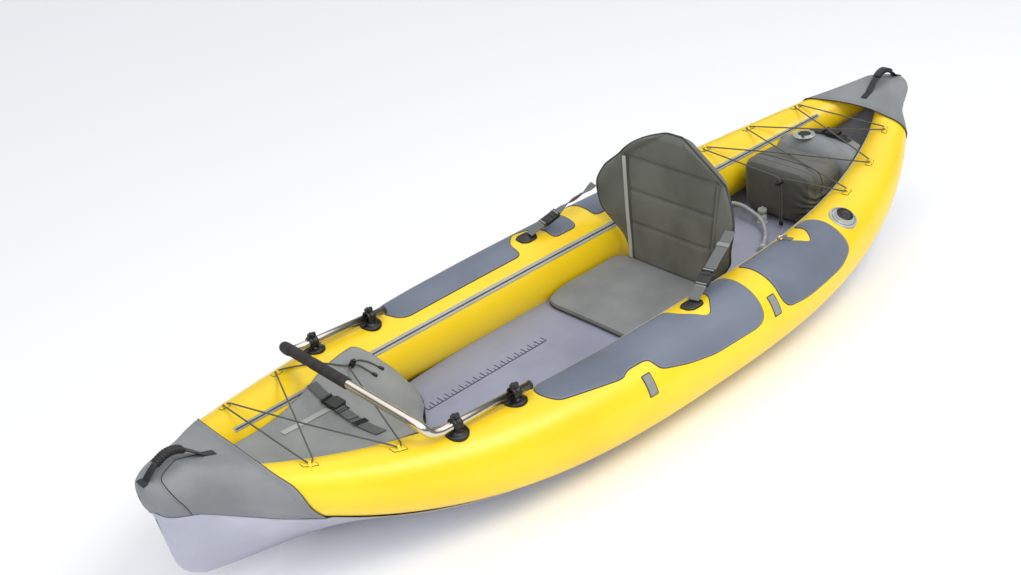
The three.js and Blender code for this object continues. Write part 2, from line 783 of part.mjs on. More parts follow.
// Webbing handle with a ribbed grip, standing over an end cover
function makeHandle(end) {
  const foot = (share) => {
    const x = share * halfLength;
    const rise = (coverSagShare * handleWidth) / 2 + 2 * seatGap + webbingThickness / 2;
    return point(end * x, 0, skinSection(x, skinGap + skinThickness).crest + rise);
  };
  const [start, finish] = handleEndShares.map(foot);
  const arch = (t) => start.clone().lerp(finish, t).add(point(0, 0, handleArch * Math.sin(Math.PI * t)));
  const [gripStart, gripEnd] = gripSpanShares;
  const pitch = (gripEnd - gripStart) / gripRibs;
  const strap = [handleWidth, webbingThickness];
  const rib = [gripWidth, gripThickness];
  const valley = [gripWidth - gripRibDepth, gripThickness - gripRibDepth];
  const lead = [0, gripStart / 2, gripStart - ribShares[0] * pitch];
  const stops = lead.map((t) => [t, strap]);
  for (let i = 0; i < gripRibs; i += 1) {
    const from = gripStart + i * pitch;
    stops.push([from, valley], [from + ribShares[0] * pitch, rib], [from + ribShares[1] * pitch, rib]);
  }
  stops.push([gripEnd, valley], ...lead.reverse().map((t) => [gripEnd + (1 - gripEnd) * (1 - t / gripStart), strap]));
  return sweep(stops.map(([t]) => arch(t)), (i) => chamfered(...stops[i][1]));
}

add(hull, "bow_handle", makeHandle(1), finishes.black);
add(hull, "stern_handle", makeHandle(-1), finishes.black);

// Sheets welded on the tubes
const strapX = strapAnchorShare * halfLength;

function makeFrontPatch(side) {
  const anchor = onTube(strapX, strapAngle, 0, side);
  const window = prism(ellipse(anchor.x, anchor.y, frontCutoutRadius, frontCutoutRadius), 0, hullBeam);
  const bare = tubeSheet(side, planOutline(frontPatchShares, side), patchThickness);
  return cut(bare, window);
}

function ringFrame(side) {
  const lift = seatGap + patchThickness + ringBarrelRadius - ringWire / 2;
  return tubeFrame(ringShare * halfLength, ringAngle, lift, side);
}

function makeRearPatch(side) {
  const centre = onTube(rearCutoutShare * halfLength, 0, 0, side);
  const window = prism(ellipse(centre.x, centre.y, rearCutoutLength / 2, rearCutoutWidth / 2), 0, hullBeam);
  const bare = cut(tubeSheet(side, planOutline(rearPatchShares, side), patchThickness), window);
  const along = new THREE.Matrix4().makeRotationY(Math.PI / 2);
  const frame = ringFrame(side);
  const barrel = moved(moved(drum(ringBarrelRadius, ringBarrelLength), along), frame);
  const bore = moved(moved(drum(ringWire + seatGap, ringBarrelLength + cutOverrun), along), frame);
  return cut(joined(bare, cut(barrel, tubeClearance[side])), bore);
}

function makeRing() {
  const arc = Array.from({ length: ringSteps + 1 }, (_, i) => {
    const angle = (Math.PI * i) / ringSteps;
    return [(ringLength / 2) * Math.cos(angle), -ringReach * Math.sin(angle)];
  });
  const bar = [[-ringBarrelLength / 2 - ringWire, 0], [0, 0], [ringBarrelLength / 2 + ringWire, 0]];
  return roundTube([...arc, ...bar].map(([x, y]) => point(x, y, 0)), ringWire, cordSides, true);
}

// Half turn about the normal, so that a ring lies inboard on either side
function halfTurn(side) {
  return new THREE.Matrix4().makeRotationZ(side === port ? 0 : Math.PI);
}

function makeKeeper(side, share) {
  const centre = share * halfLength;
  const rings = stationsBetween(centre - keeperWidth / 2, centre + keeperWidth / 2).map((x) => [
    ...keeperAngles.map((angle) => onTube(x, angle, seatGap + keeperThickness, side)),
    ...keeperAngles.map((angle) => onTube(x, angle, seatGap, side)).reverse(),
  ]);
  return loft(rings);
}

// Seat: cushion, backrest hinged on its rear edge, straps and buckles
const seatRear = seatFrontShare * halfLength - seatLength;
const seatTop = floorTop + seatGap + seatThickness;
const seatInner = sectionAt(seatRear);
const seatHalfWidth = seatInner.y - seatInner.wide - seatSideGap;
const backFront = seatRear - seatGap + backSeamDepth / 2;
const backBottom = seatTop - backDrop;

function makeSeatBase() {
  const rings = seatLengthShares.map((share) => {
    const end = 2 * Math.abs(share - 0.5);
    const draw = seatInset * end ** 8;
    const half = seatHalfWidth - draw;
    const low = floorTop + seatGap;
    const top = seatTop - seatCrown - draw;
    const across = seatTopShares.map((t) => {
      const crown = seatCrown * (1 - t ** 4) * (1 - end ** 4);
      return [t * (half - seatInset / 2), top + crown];
    });
    const portSide = [[half - seatInset, low], [half, (low + top) / 2], [half - seatInset / 4, top - seatInset / 2], ...across];
    const mirrored = portSide.slice(0, -1).map(([y, z]) => [-y, z]).reverse();
    const x = seatRear + share * seatLength;
    return [...portSide, ...mirrored].map(([y, z]) => point(x, y, z));
  });
  return loft(rings);
}

// Backrest measures at a height share: half width, flat half width, seam depth
function backRow(share) {
  const half = (backWidth / 2) * between(backWidthShares, share);
  const flat = Math.min((backWidth / 2) * between(backFlatShares, share), half);
  const nearest = Math.min(...backSeamShares.map((seam) => Math.abs(share - seam)));
  const ends = Math.min(share, 1 - share) / backSeamHalfShare;
  const seam = nearest < backSeamHalfShare / 2 ? 1 : 0;
  return { share, half, flat, draw: Math.max(seam, 1 - Math.min(ends, 1)) };
}

function backFaceX(row, y) {
  const lean = backLean * row.share;
  const rise = THREE.MathUtils.smoothstep(row.share, wingStartShare, wingFullShare);
  const out = Math.max(Math.abs(y) - row.flat, 0) / ((backWidth / 2) * (1 - backFlatShares[0][1]));
  return backFront - lean + backWingForward * rise * out;
}

function makeSeatBack() {
  const levels = [0, backSeamHalfShare, ...backWidthShares.map(([share]) => share).slice(1, -1), 1 - backSeamHalfShare, 1];
  const seams = backSeamShares.flatMap((seam) => [seam - backSeamHalfShare, seam, seam + backSeamHalfShare]);
  const shares = [...levels, ...seams].sort((a, b) => a - b);
  const rings = shares.map(backRow).map((row) => {
    const z = backBottom + backHeight * row.share;
    const across = [...backAcrossShares, ...backAcrossShares.slice(0, -1).map((t) => -t).reverse()];
    const face = across.map((t) => {
      const edge = t ** 8;
      const pulled = Math.max(edge, row.draw);
      const y = t * row.half;
      const front = backFaceX(row, y) - (backSeamDepth / 2) * pulled;
      const thick = backThickness + (backEdgeThickness - backThickness) * edge - backSeamDepth * row.draw * (1 - edge);
      return { y, front, back: front - thick };
    });
    return [
      ...face.map(({ y, front }) => point(front, y, z)),
      ...face.map(({ y, back }) => point(back, y, z)).reverse(),
    ];
  });
  return loft(rings);
}

function strapFrame(side) {
  const anchor = onTube(strapX, strapAngle, seatGap + strapPadThickness - webbingThickness / 2, side);
  const row = backRow(strapWingShare);
  const wing = point(backFaceX(row, row.half), side * row.half, backBottom + backHeight * strapWingShare);
  const target = wing.add(point(strapWingLead, 0, 0));
  const along = target.clone().sub(anchor);
  const length = along.length();
  along.normalize();
  const across = point(0, 0, 1).cross(along).normalize();
  const up = point().crossVectors(along, across);
  return { length, matrix: new THREE.Matrix4().makeBasis(along, across, up).setPosition(anchor) };
}

function plate(outline, thickness) {
  const settings = { depth: thickness, bevelEnabled: false };
  return new THREE.ExtrudeGeometry(shapeOf(outline), settings).translate(0, 0, -thickness / 2);
}

function makeStrapPad(side) {
  const anchor = onTube(strapX, strapAngle, 0, side);
  const [a, b] = [strapPadLength / 2, strapPadWidth / 2];
  const outline = [[-a, -b / 2], [-a / 2, -b], [a, -b / 2], [a, b / 2], [-a / 2, b], [-a, b / 2]];
  const pad = tubeSheet(side, outline.map(([x, y]) => [anchor.x + x, anchor.y + y]), strapPadThickness);
  const lead = box(strapLead + strapBite, strapWidth, webbingThickness).translate((strapLead - strapBite) / 2, 0, 0);
  return joined(pad, moved(lead, strapFrame(side).matrix));
}

const socketStart = strapLead + seatGap;
const tongueStart = socketStart + buckleLength + seatGap;
const strapStart = tongueStart + tongueLength + seatGap;

function makeSocket() {
  const [end, half, corner] = [buckleLength, buckleWidth / 2, buckleCornerCut];
  const outline = [[0, corner - half], [corner, -half], [end, -half], [end, half], [corner, half], [0, half - corner]];
  const hollow = box(2 * tongueReach, buckleWidth - 2 * socketWall, buckleThickness - 2 * webbingThickness);
  return cut(plate(outline, buckleThickness), hollow.translate(buckleLength, 0, 0)).translate(socketStart, 0, 0);
}

function makeTongue() {
  const [end, half, corner] = [tongueLength, buckleWidth / 2, buckleCornerCut];
  const outline = [[0, -half], [end - corner, -half], [end, corner - half], [end, half - corner], [end - corner, half], [0, half]];
  const clear = 2 * seatGap;
  const reach = tongueReach - clear;
  const prongs = box(reach, buckleWidth - 2 * socketWall - clear, buckleThickness - 2 * webbingThickness - clear);
  const slot = box(reach, socketWall, buckleThickness);
  const body = joined(plate(outline, buckleThickness - clear), prongs.translate(-reach / 2 + clear / 4, 0, 0));
  return cut(body, slot.translate(-reach / 2 - clear, 0, 0)).translate(tongueStart, 0, 0);
}

function makeStrap(length) {
  const run = length - strapStart;
  return box(run, strapWidth, webbingThickness).translate(strapStart + run / 2, 0, 0);
}

const seat = new THREE.Group();
kayak.add(seat);
add(seat, "seat_base", makeSeatBase(), finishes.cloth);
add(seat, "seat_back", makeSeatBack(), finishes.cloth);

for (const side of [port, starboard]) {
  const name = sideNames[side];
  add(hull, `wear_patch_front_${name}`, makeFrontPatch(side), finishes.patch);
  add(hull, `wear_patch_rear_${name}`, makeRearPatch(side), finishes.patch);
  keeperShares.forEach((share, i) => {
    add(hull, `paddle_keeper_${i === 0 ? "front" : "rear"}_${name}`, makeKeeper(side, share), finishes.webbing);
  });
  add(hull, `lashing_ring_${name}`, makeRing(), finishes.metal, ringFrame(side).multiply(halfTurn(side)));
  const { matrix, length } = strapFrame(side);
  add(seat, `strap_patch_${name}`, makeStrapPad(side), finishes.black);
  add(seat, `buckle_socket_${name}`, makeSocket(), finishes.black, matrix);
  add(seat, `buckle_tongue_${name}`, makeTongue(), finishes.black, matrix);
  add(seat, `seat_strap_${name}`, makeStrap(length), finishes.webbing, matrix);
}

// Accessory bar: two legs along the tubes, joined by a raised crossbar
const [frontClampX, rearClampX] = clampShares.map((share) => share * halfLength);

// Angle from a tube's top at which its surface lies under a given distance from the keel line
function angleUnder(x, y) {
  const section = sectionAt(x);
  return THREE.MathUtils.radToDeg(Math.asin((y - section.y) / section.wide));
}

function legHeight(x) {
  return onTube(x, angleUnder(x, barHalfWidth), 0).z + barHeight;
}

const barPitch = Math.atan2(legHeight(frontClampX) - legHeight(rearClampX), frontClampX - rearClampX);
const clampSpacing = (frontClampX - rearClampX) / Math.cos(barPitch);
const bar = new THREE.Group();
bar.position.set(frontClampX, 0, legHeight(frontClampX));
bar.rotation.y = -barPitch;
kayak.add(bar);
bar.updateMatrix();

const legEnd = -clampSpacing - barTail;
const dropX = barReach - barCornerSetback;

function barCorners(side) {
  return [
    point(legEnd, side * barHalfWidth, 0),
    point(dropX, side * barHalfWidth, 0),
    point(barReach, side * (barHalfWidth - barCornerInset), barRise),
  ];
}

function makeBar(radius) {
  const corners = [...barCorners(port), ...barCorners(starboard).reverse()];
  return roundTube(rounded(corners, barBend, barBendSteps), radius, barSides);
}

function makeSleeve() {
  const [, drop, corner] = barCorners(starboard);
  const start = point(barReach, sleeveEndShare * barHalfWidth, barRise);
  const end = drop.clone().add(point(-barCornerSetback, 0, 0));
  const path = rounded([start, corner, drop, end], barBend, barBendSteps);
  const outer = roundTube(path.slice(0, -barBendSteps), barRadius + sleeveThickness, barSides);
  return cut(outer, makeBar(barRadius + seatGap));
}

function makeCap(side) {
  const cap = drum(barRadius + capLip, capLength, barSides).rotateY(Math.PI / 2);
  return cap.translate(legEnd - seatGap - capLength / 2, side * barHalfWidth, 0);
}

function makeCollar(side, place) {
  const outer = drum(barRadius + seatGap + clampWall, clampWidth).rotateY(Math.PI / 2);
  const bore = drum(barRadius + 1.5 * seatGap, clampWidth + cutOverrun).rotateY(Math.PI / 2);
  const lugRise = barRadius + clampWall + clampLugHeight / 2;
  const lug = box(clampWidth, clampLugWidth, clampLugHeight + clampWall).translate(0, 0, lugRise - clampWall / 2);
  const bolt = drum(clampLugHeight / 2, clampLugWidth + clampWall, cordSides).rotateX(Math.PI / 2).translate(0, 0, lugRise);
  return cut(joined(outer, lug, bolt), bore).translate(place, side * barHalfWidth, 0);
}

function makeClampBase(side, x) {
  const matrix = tubeFrame(x, angleUnder(x, barHalfWidth), 0, side);
  const disc = drum(clampDiscRadius, clampDiscThickness + clampDiscDepth);
  disc.translate(0, 0, (clampDiscThickness - clampDiscDepth) / 2);
  const post = drum(clampPostRadius, barHeight).translate(0, 0, barHeight / 2);
  const saddleRadius = barRadius + clampWall + 2 * seatGap;
  const saddle = drum(saddleRadius, 2 * clampDiscRadius + cutOverrun).rotateY(Math.PI / 2);
  const leg = moved(saddle, bar.matrix.clone().setPosition(x, side * barHalfWidth, legHeight(x)));
  return cut(moved(joined(disc, post), matrix), tubeClearance[side], leg);
}

add(bar, "accessory_bar", makeBar(barRadius), finishes.metal);
add(bar, "bar_sleeve", makeSleeve(), finishes.foam);
for (const side of [port, starboard]) {
  const name = sideNames[side];
  add(bar, `bar_cap_${name}`, makeCap(side), finishes.black);
  add(bar, `clamp_collar_front_${name}`, makeCollar(side, 0), finishes.black);
  add(bar, `clamp_collar_rear_${name}`, makeCollar(side, -clampSpacing), finishes.black);
  add(hull, `clamp_base_front_${name}`, makeClampBase(side, frontClampX), finishes.black);
  add(hull, `clamp_base_rear_${name}`, makeClampBase(side, rearClampX), finishes.black);
}

// Soft block that fills the space between the tubes under a crowned top
const fillClearance = [port, starboard].map((side) => makeTube(side, stripThickness + 2 * seatGap));

function betweenTubes(rows, shift = () => 0) {
  const rings = rows.map(({ x, edge, centre }) => {
    const rim = onTube(x, edge, stripThickness + braceEdgeLift);
    const section = sectionAt(x);
    const across = Array.from({ length: braceSteps + 1 }, (_, i) => {
      const t = 1 - i / braceSteps;
      return [t * rim.y, centre + (rim.z - centre) * t ** 2];
    });
    const low = floorTop + seatGap;
    const deep = Math.min(section.z, rim.z - braceEdgeLift);
    const half = [[section.y, low], [section.y, Math.max(deep, low + braceEdgeLift)], ...across];
    const mirrored = half.slice(0, -1).map(([y, z]) => [-y, z]).reverse();
    return [...half, ...mirrored].map(([y, z]) => point(x + shift(x, y), y, z));
  });
  const [from, to] = [rows[0].x, rows.at(-1).x].sort((a, b) => a - b);
  const room = envelope(from - cutOverrun, to + cutOverrun, skinGap - seatGap);
  const strips = [port, starboard].map((side) => makeStrip(side, seatGap));
  return common(cut(loft(rings), ...fillClearance, ...strips), room);
}

// Level of such a block's top at a share of its half width
function topOf(row, t) {
  const rim = onTube(row.x, row.edge, stripThickness + braceEdgeLift);
  return point(row.x, t * rim.y, row.centre + (rim.z - row.centre) * t ** 2);
}

// Frame standing square on such a block's top
function facetFrame([before, row, after], t) {
  const along = topOf(after, t).sub(topOf(before, t)).normalize();
  const over = topOf(row, t + webbingTilt / 2).sub(topOf(row, t - webbingTilt / 2));
  const up = point().crossVectors(along, over).normalize();
  return new THREE.Matrix4().makeBasis(along, point().crossVectors(up, along), up).setPosition(topOf(row, t));
}

// Webbing with a side release fastener, laid over a block
function makeLash([before, row, after], [start, stop], fastenerShare) {
  const slope = (topOf(after, 0).z - topOf(before, 0).z) / (after.x - before.x);
  const count = 2 * braceSteps;
  const lift = point(0, 0, lashLift + webbingThickness / 2);
  const folds = Array.from({ length: count + 1 }, (_, i) => (2 * i) / count - 1).filter((t) => t > start && t < stop);
  const path = [start, ...folds, stop].map((t) => topOf(row, t).add(lift)).reverse();
  const band = sweep(path, () => {
    const [a, b] = [lashWidth / 2, webbingThickness / 2];
    return [[a, b], [-a, b], [-a, -b], [a, -b]].map(([u, v]) => [u, v + slope * u]);
  });
  const clip = box(fastenerWidth, fastenerLength, fastenerHeight);
  clip.translate(0, 0, lashLift + fastenerHeight / 2);
  return joined(band, moved(clip, facetFrame([before, row, after], fastenerShare)));
}

const braceRows = braceCentreShares.map(([share, level], i) => ({
  x: share * halfLength,
  edge: braceEdgeAngles[i],
  centre: level * tipHeight,
}));

function braceRowAt(share) {
  const look = (key) => between(braceRows.map((row) => [row.x, row[key]]), share * halfLength);
  return { x: share * halfLength, edge: look("edge"), centre: look("centre") };
}

// The brace's rear edge runs forward towards the port tube
function braceShift(x, y) {
  const across = THREE.MathUtils.smoothstep(y, braceSlantStart, braceSlantEnd);
  return braceSlant * across * Math.max(1 - (x - braceRows[0].x) / braceSlantReach, 0);
}

const bow = new THREE.Group();
kayak.add(bow);
add(bow, "foot_brace", betweenTubes(braceRows, braceShift), finishes.cover);
const lashSpan = (0.5 * lashWidth) / halfLength;
const braceLashRows = [braceLashShare - lashSpan, braceLashShare, braceLashShare + lashSpan].map(braceRowAt);
const braceLash = makeLash(braceLashRows, bowLashShares, bowFastenerShare);
add(bow, "foot_brace_strap", braceLash, finishes.webbing);

// Stern: bag on the floor and inflated thwart behind it
const stern = new THREE.Group();
kayak.add(stern);
const bagFront = bagFrontShare * halfLength;
const bagBottom = floorTop + seatGap;

function makeBag() {
  const rings = bagLevelShares.map(([share, inset]) => {
    const draw = inset * bagCorner;
    const [a, b] = [bagLength / 2 - draw, bagWidth / 2 - draw];
    const round = Math.min(bagCorner, a, b);
    const corner = (u, v, start) => Array.from({ length: bagCornerSteps + 1 }, (_, i) => {
      const angle = start + (Math.PI / 2) * (i / bagCornerSteps);
      return [u * (a - round) + round * Math.cos(angle), v * (b - round) + round * Math.sin(angle)];
    });
    const plan = [
      ...corner(1, 1, 0), ...corner(-1, 1, Math.PI / 2), ...corner(-1, -1, Math.PI), ...corner(1, -1, 1.5 * Math.PI),
    ];
    const z = bagBottom + share * (bagTop - bagBottom);
    return plan.map(([x, y]) => point(bagFront - bagLength / 2 + x, y, z));
  });
  return loft(rings);
}

const thwartFront = bagFront - bagLength - thwartGap;
const thwartRows = thwartProfileShares.map(([share, rise]) => {
  const x = thwartFront - share * thwartLength;
  const centre = floorTop + rise * (thwartTop - floorTop);
  const rim = onTube(x, thwartEdgeAngle, 0).z;
  const edge = Math.min(rim, centre - thwartCrown * rise);
  return { x, centre, edge: edgeAngleAt(x, edge) };
});

// Inboard angle at which a tube's surface reaches a level
function edgeAngleAt(x, level) {
  const section = sectionAt(x);
  return -THREE.MathUtils.radToDeg(Math.acos(THREE.MathUtils.clamp((level - section.z) / section.tall, -1, 1)));
}

const thwartValvePlace = point(thwartFront - thwartLength * 0.3, -thwartValveOffset, thwartTop);

function makeValveBody(height) {
  const boss = drum(valveBoss, height).translate(0, 0, height / 2);
  return cut(boss, drum(valveBore, height).translate(0, 0, height / 2 + valveFloor));
}

function makePlunger() {
  const rest = valveFloor + seatGap + valveTravel + plungerHeight / 2;
  return drum(valveBore - seatGap, plungerHeight).translate(0, 0, rest);
}

function makeThwart() {
  const pocket = drum(valveBoss + seatGap, cutOverrun).translate(0, 0, cutOverrun / 2 - valveHeight / 2);
  return cut(betweenTubes(thwartRows), pocket.translate(...thwartValvePlace.toArray()));
}

function makeThwartValve() {
  const body = makeValveBody(valveHeight);
  const cap = drum(valveBore - seatGap, valveHeight - plungerHeight).translate(0, 0, (valveHeight - plungerHeight) / 2);
  return joined(body, cap).translate(0, 0, seatGap - valveHeight / 2);
}

add(stern, "stern_bag", makeBag(), finishes.cloth);
add(stern, "thwart", makeThwart(), finishes.cover);
add(stern, "thwart_valve", makeThwartValve(), finishes.grey, new THREE.Matrix4().setPosition(thwartValvePlace));

const sternLashPlace = thwartFront - sternLashShare * thwartLength;
const sternLashRows = [-lashWidth / 2, 0, lashWidth / 2].map((offset) => {
  const x = sternLashPlace + offset;
  return { x, edge: edgeAngleAt(x, thwartTop - thwartCrown), centre: thwartTop };
});
const sternLash = makeLash(sternLashRows, sternLashShares, sternFastenerShare);
add(stern, "thwart_strap", sternLash, finishes.webbing);

// Tabs welded on the tubes, each with a ring for the shock cord
const tabHoleRadius = cordRadius + 2 * seatGap;
const tabRingRadius = tabHoleRadius + tabRingWall;
const tabLift = tabThickness + tabRingRadius - tabRingWall / 2;

function makeTab() {
  const turn = Math.PI / tabRingSides;
  const outline = shapeOf(ellipse(0, 0, tabRingRadius, tabRingRadius, tabRingSides));
  outline.holes.push(new THREE.Path(ellipse(0, 0, tabHoleRadius, tabHoleRadius, tabRingSides)
    .map(([x, y]) => new THREE.Vector2(x, y))));
  const ring = new THREE.ExtrudeGeometry(outline, { depth: tabRingDepth, bevelEnabled: false });
  ring.translate(0, 0, -tabRingDepth / 2).rotateZ(turn).rotateY(Math.PI / 2).translate(0, 0, tabLift);
  return joined(box(tabLength, tabWidth, 2 * tabThickness), ring);
}

function withTabs(tube, side) {
  const tabs = [...bowTabShares, ...sternTabShares].map(([share, angle]) => (
    moved(makeTab(), tubeFrame(share * halfLength, angle, 0, side))
  ));
  return joined(tube, ...tabs);
}

// Cord points through a tab's ring, entered from ahead (1) or from behind (-1)
function throughTab([share, angle], side, enter) {
  const frame = tubeFrame(share * halfLength, angle, 0, side);
  const inside = tabRingDepth / 2 + seatGap;
  const turned = tabLift + tabThickness / 2;
  const local = [[cordTurn, cordLean, turned], [inside, 0, tabLift], [-inside, 0, tabLift], [-cordTurn, cordLean, turned]];
  return local.map(([along, lean, up]) => point(enter * along, -side * lean, up).applyMatrix4(frame));
}

function crossing(from, to, lift) {
  return from.clone().add(to).multiplyScalar(0.5).add(point(0, 0, lift));
}

// One unbroken cord with a thicker tip at each end
function makeCord(path) {
  const tipped = [...path];
  const tip = (end, next) => end.clone().add(next.clone().sub(end).setLength(cordTipLength));
  tipped.splice(1, 0, tip(path[0], path[1]), tip(path[0], path[1]).lerp(path[1], webbingTilt));
  tipped.splice(-1, 0, tip(path.at(-1), path.at(-2)).lerp(path.at(-2), webbingTilt), tip(path.at(-1), path.at(-2)));
  const thick = (i) => i < 2 || i > tipped.length - 3;
  return sweep(tipped, (i) => circle(thick(i) ? cordTipRadius : cordRadius, cordSides));
}

// Cord lock: a drum with two cross holes and a sprung button in its end
function lockBore() {
  return drum(cordRadius + seatGap, 2 * lockRadius + cutOverrun, tabRingSides).rotateY(Math.PI / 2);
}

function makeLock() {
  const body = drum(lockRadius, lockLength).translate(0, 0, lockLength / 2);
  const bores = [-cordSpacing / 2, cordSpacing / 2].map((y) => lockBore().translate(0, y, lockHoleHeight));
  const depth = lockButtonTravel + lockButtonBite + seatGap;
  const well = drum(lockButtonRadius + seatGap, 2 * depth).translate(0, 0, lockLength);
  return cut(body, ...bores, well);
}

function makeLockButton() {
  return drum(lockButtonRadius, lockButtonLength).translate(0, 0, lockLength - lockButtonBite + lockButtonLength / 2);
}

function throughLock(frame, sign, reverse = false) {
  const reach = lockRadius + cordTurn / 2;
  const ends = [point(reach, (sign * cordSpacing) / 2, lockHoleHeight), point(-reach, (sign * cordSpacing) / 2, lockHoleHeight)];
  const path = ends.map((p) => p.applyMatrix4(frame));
  return reverse ? path.reverse() : path;
}

// A point just above the foot brace at a share of the hull and of the brace's half width
function overBrace([share, t], lift) {
  return topOf(braceRowAt(share), t).add(point(0, 0, lift));
}

const cordLift = cordTipRadius + 4 * seatGap;

// Points just off a tube's inboard face, on the way down to a place beside it
function downTube(from, to, side) {
  return cordDropAngles.map((angle, i) => {
    const x = from.x + ((to.x - from.x) * (i + 1)) / (cordDropAngles.length + 1);
    return onTube(x, angle, cordLift, side);
  });
}

const [lockShare, lockPlace] = bowLockPlaceShares;
const lockRows = [lockShare - lashSpan, lockShare, lockShare + lashSpan].map(braceRowAt);
const bowLockFrame = facetFrame(lockRows, lockPlace).multiply(new THREE.Matrix4().makeTranslation(0, 0, lockSeatLift));

function makeBowLacing() {
  const [front, rear] = bowTabShares;
  const out = throughLock(bowLockFrame, -1, true);
  const back = throughLock(bowLockFrame, 1);
  const tails = bowTailShares.map((tail) => tail.map((place) => overBrace(place, cordLift)));
  const farRear = throughTab(rear, starboard, -1);
  const nearFront = throughTab(front, port, -1);
  const farFront = throughTab(front, starboard, 1);
  const nearRear = throughTab(rear, port, 1);
  return makeCord([
    ...tails[0].reverse(), ...out, ...downTube(out.at(-1), farRear[0], starboard).reverse(), ...farRear,
    crossing(farRear.at(-1), nearFront[0], cordCross), ...nearFront, ...farFront,
    crossing(farFront.at(-1), nearRear[0], -cordCross), ...nearRear, ...back, ...tails[1],
  ]);
}

const sternLockX = bagFront + sternLockOffset + lockRadius;
const sternLockZ = onTube(sternTabShares[0][0] * halfLength, sternTabShares[0][1], 0).z - sternLockDrop;
const sternLockFrame = new THREE.Matrix4().makeBasis(point(0, 0, 1), point(0, -1, 0), point(1, 0, 0));
sternLockFrame.setPosition(sternLockX - lockHoleHeight, sternLockPlace, sternLockZ);

function makeSternLacing() {
  const [a, b, c] = sternTabShares;
  const out = throughLock(sternLockFrame, 1, true);
  const back = throughLock(sternLockFrame, -1);
  const drop = (p) => p.clone().setZ(bagBottom + sternTailEnd);
  const farA = throughTab(a, starboard, 1);
  const nearB = throughTab(b, port, 1);
  const farC = throughTab(c, starboard, 1);
  const nearC = throughTab(c, port, -1);
  const farB = throughTab(b, starboard, -1);
  const nearA = throughTab(a, port, -1);
  return makeCord([
    drop(out[0]), ...out, ...farA, crossing(farA.at(-1), nearB[0], cordCross), ...nearB,
    crossing(nearB.at(-1), farC[0], cordCross), ...farC, ...nearC,
    crossing(nearC.at(-1), farB[0], -cordCross), ...farB,
    crossing(farB.at(-1), nearA[0], -cordCross), ...nearA, ...back, drop(back[1]),
  ]);
}

add(bow, "bow_lacing", makeBowLacing(), finishes.black);
add(bow, "bow_cord_lock", makeLock(), finishes.black, bowLockFrame);
add(bow, "bow_lock_button", makeLockButton(), finishes.black, bowLockFrame);
add(stern, "stern_lacing", makeSternLacing(), finishes.black);
add(stern, "stern_cord_lock", makeLock(), finishes.black, sternLockFrame);
add(stern, "stern_lock_button", makeLockButton(), finishes.black, sternLockFrame);

// Air valves on the tubes
for (const side of [port, starboard]) {
  const name = sideNames[side];
  const frame = tubeFrame(valveShare * halfLength, valveAngle, 0, side);
  const sheet = cut(makeTube(side, seatGap + valveFlange), makeTube(side, seatGap));
  const flange = common(sheet, moved(drum(valveRadius, 2 * valveRadius), frame));
  const stem = cut(moved(drum(valveBoss, 2 * valveHeight), frame), tubeClearance[side]);
  const bore = moved(drum(valveBore, valveHeight).translate(0, 0, valveHeight / 2 + valveFloor), frame);
  add(hull, `valve_body_${name}`, cut(joined(flange, stem), bore), finishes.grey);
  add(hull, `valve_plunger_${name}`, makePlunger(), finishes.black, frame);
  hull.getObjectByName(`tube_${name}`).geometry = withTabs(tubeShapes[side], side);
}

// Floor hose in an arc past the twist valve, from elbow to elbow
const [valveX, valveY] = [floorValvePlaceShares[0] * halfLength, floorValvePlaceShares[1] * tubeSpread];

function makeHose() {
  const level = floorTop + seatGap + elbowSize / 2;
  const path = hosePathShares.map(([share, t, lift]) => (
    point(share * halfLength, t * tubeSpread, level + lift * elbowSize)
  ));
  const elbows = [path[0], path.at(-1)].map((end) => box(elbowSize, elbowSize, elbowSize).translate(...end.toArray()));
  return joined(roundTube(path, hoseRadius, hoseSides), ...elbows);
}

function makeFloorValve() {
  const low = floorValveHeight * floorValveShares[0];
  const base = drum(floorValveRadius, low).translate(0, 0, low / 2);
  const neck = drum(floorValveRadius * floorValveShares[1], floorValveHeight).translate(0, 0, floorValveHeight / 2);
  const capHeight = floorValveHeight * floorValveShares[2];
  const cap = drum(floorValveRadius, capHeight).translate(0, 0, floorValveHeight - capHeight / 2);
  return joined(base, neck, cap).translate(0, 0, floorTop + seatGap);
}

add(stern, "floor_hose", makeHose(), finishes.grey);
add(stern, "floor_valve", makeFloorValve(), finishes.grey, new THREE.Matrix4().setPosition(valveX, valveY, 0));

export default kayak;
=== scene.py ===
import math
import bpy
import bmesh
import numpy as np
from mathutils import Matrix, Vector
from mathutils.geometry import delaunay_2d_cdt


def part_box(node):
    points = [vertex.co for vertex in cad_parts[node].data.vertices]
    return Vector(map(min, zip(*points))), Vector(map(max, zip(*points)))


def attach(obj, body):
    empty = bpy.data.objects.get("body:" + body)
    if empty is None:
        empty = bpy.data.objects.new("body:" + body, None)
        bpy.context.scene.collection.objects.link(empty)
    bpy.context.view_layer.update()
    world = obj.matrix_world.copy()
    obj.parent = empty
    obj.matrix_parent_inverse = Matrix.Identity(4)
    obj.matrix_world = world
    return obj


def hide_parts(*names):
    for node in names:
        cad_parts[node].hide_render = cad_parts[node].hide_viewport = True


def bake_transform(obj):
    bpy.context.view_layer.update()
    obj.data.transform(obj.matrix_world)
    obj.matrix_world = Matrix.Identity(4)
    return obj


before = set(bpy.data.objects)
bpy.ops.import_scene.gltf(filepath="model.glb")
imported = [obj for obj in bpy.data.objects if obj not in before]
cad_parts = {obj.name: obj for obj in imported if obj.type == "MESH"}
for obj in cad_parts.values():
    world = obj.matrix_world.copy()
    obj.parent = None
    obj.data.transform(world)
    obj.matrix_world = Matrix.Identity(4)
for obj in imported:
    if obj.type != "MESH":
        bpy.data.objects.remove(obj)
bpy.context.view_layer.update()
port, starboard = 1, -1
sideNames = {port: "port", starboard: "starboard"}
clamp = np.clip
shift = Matrix.Translation


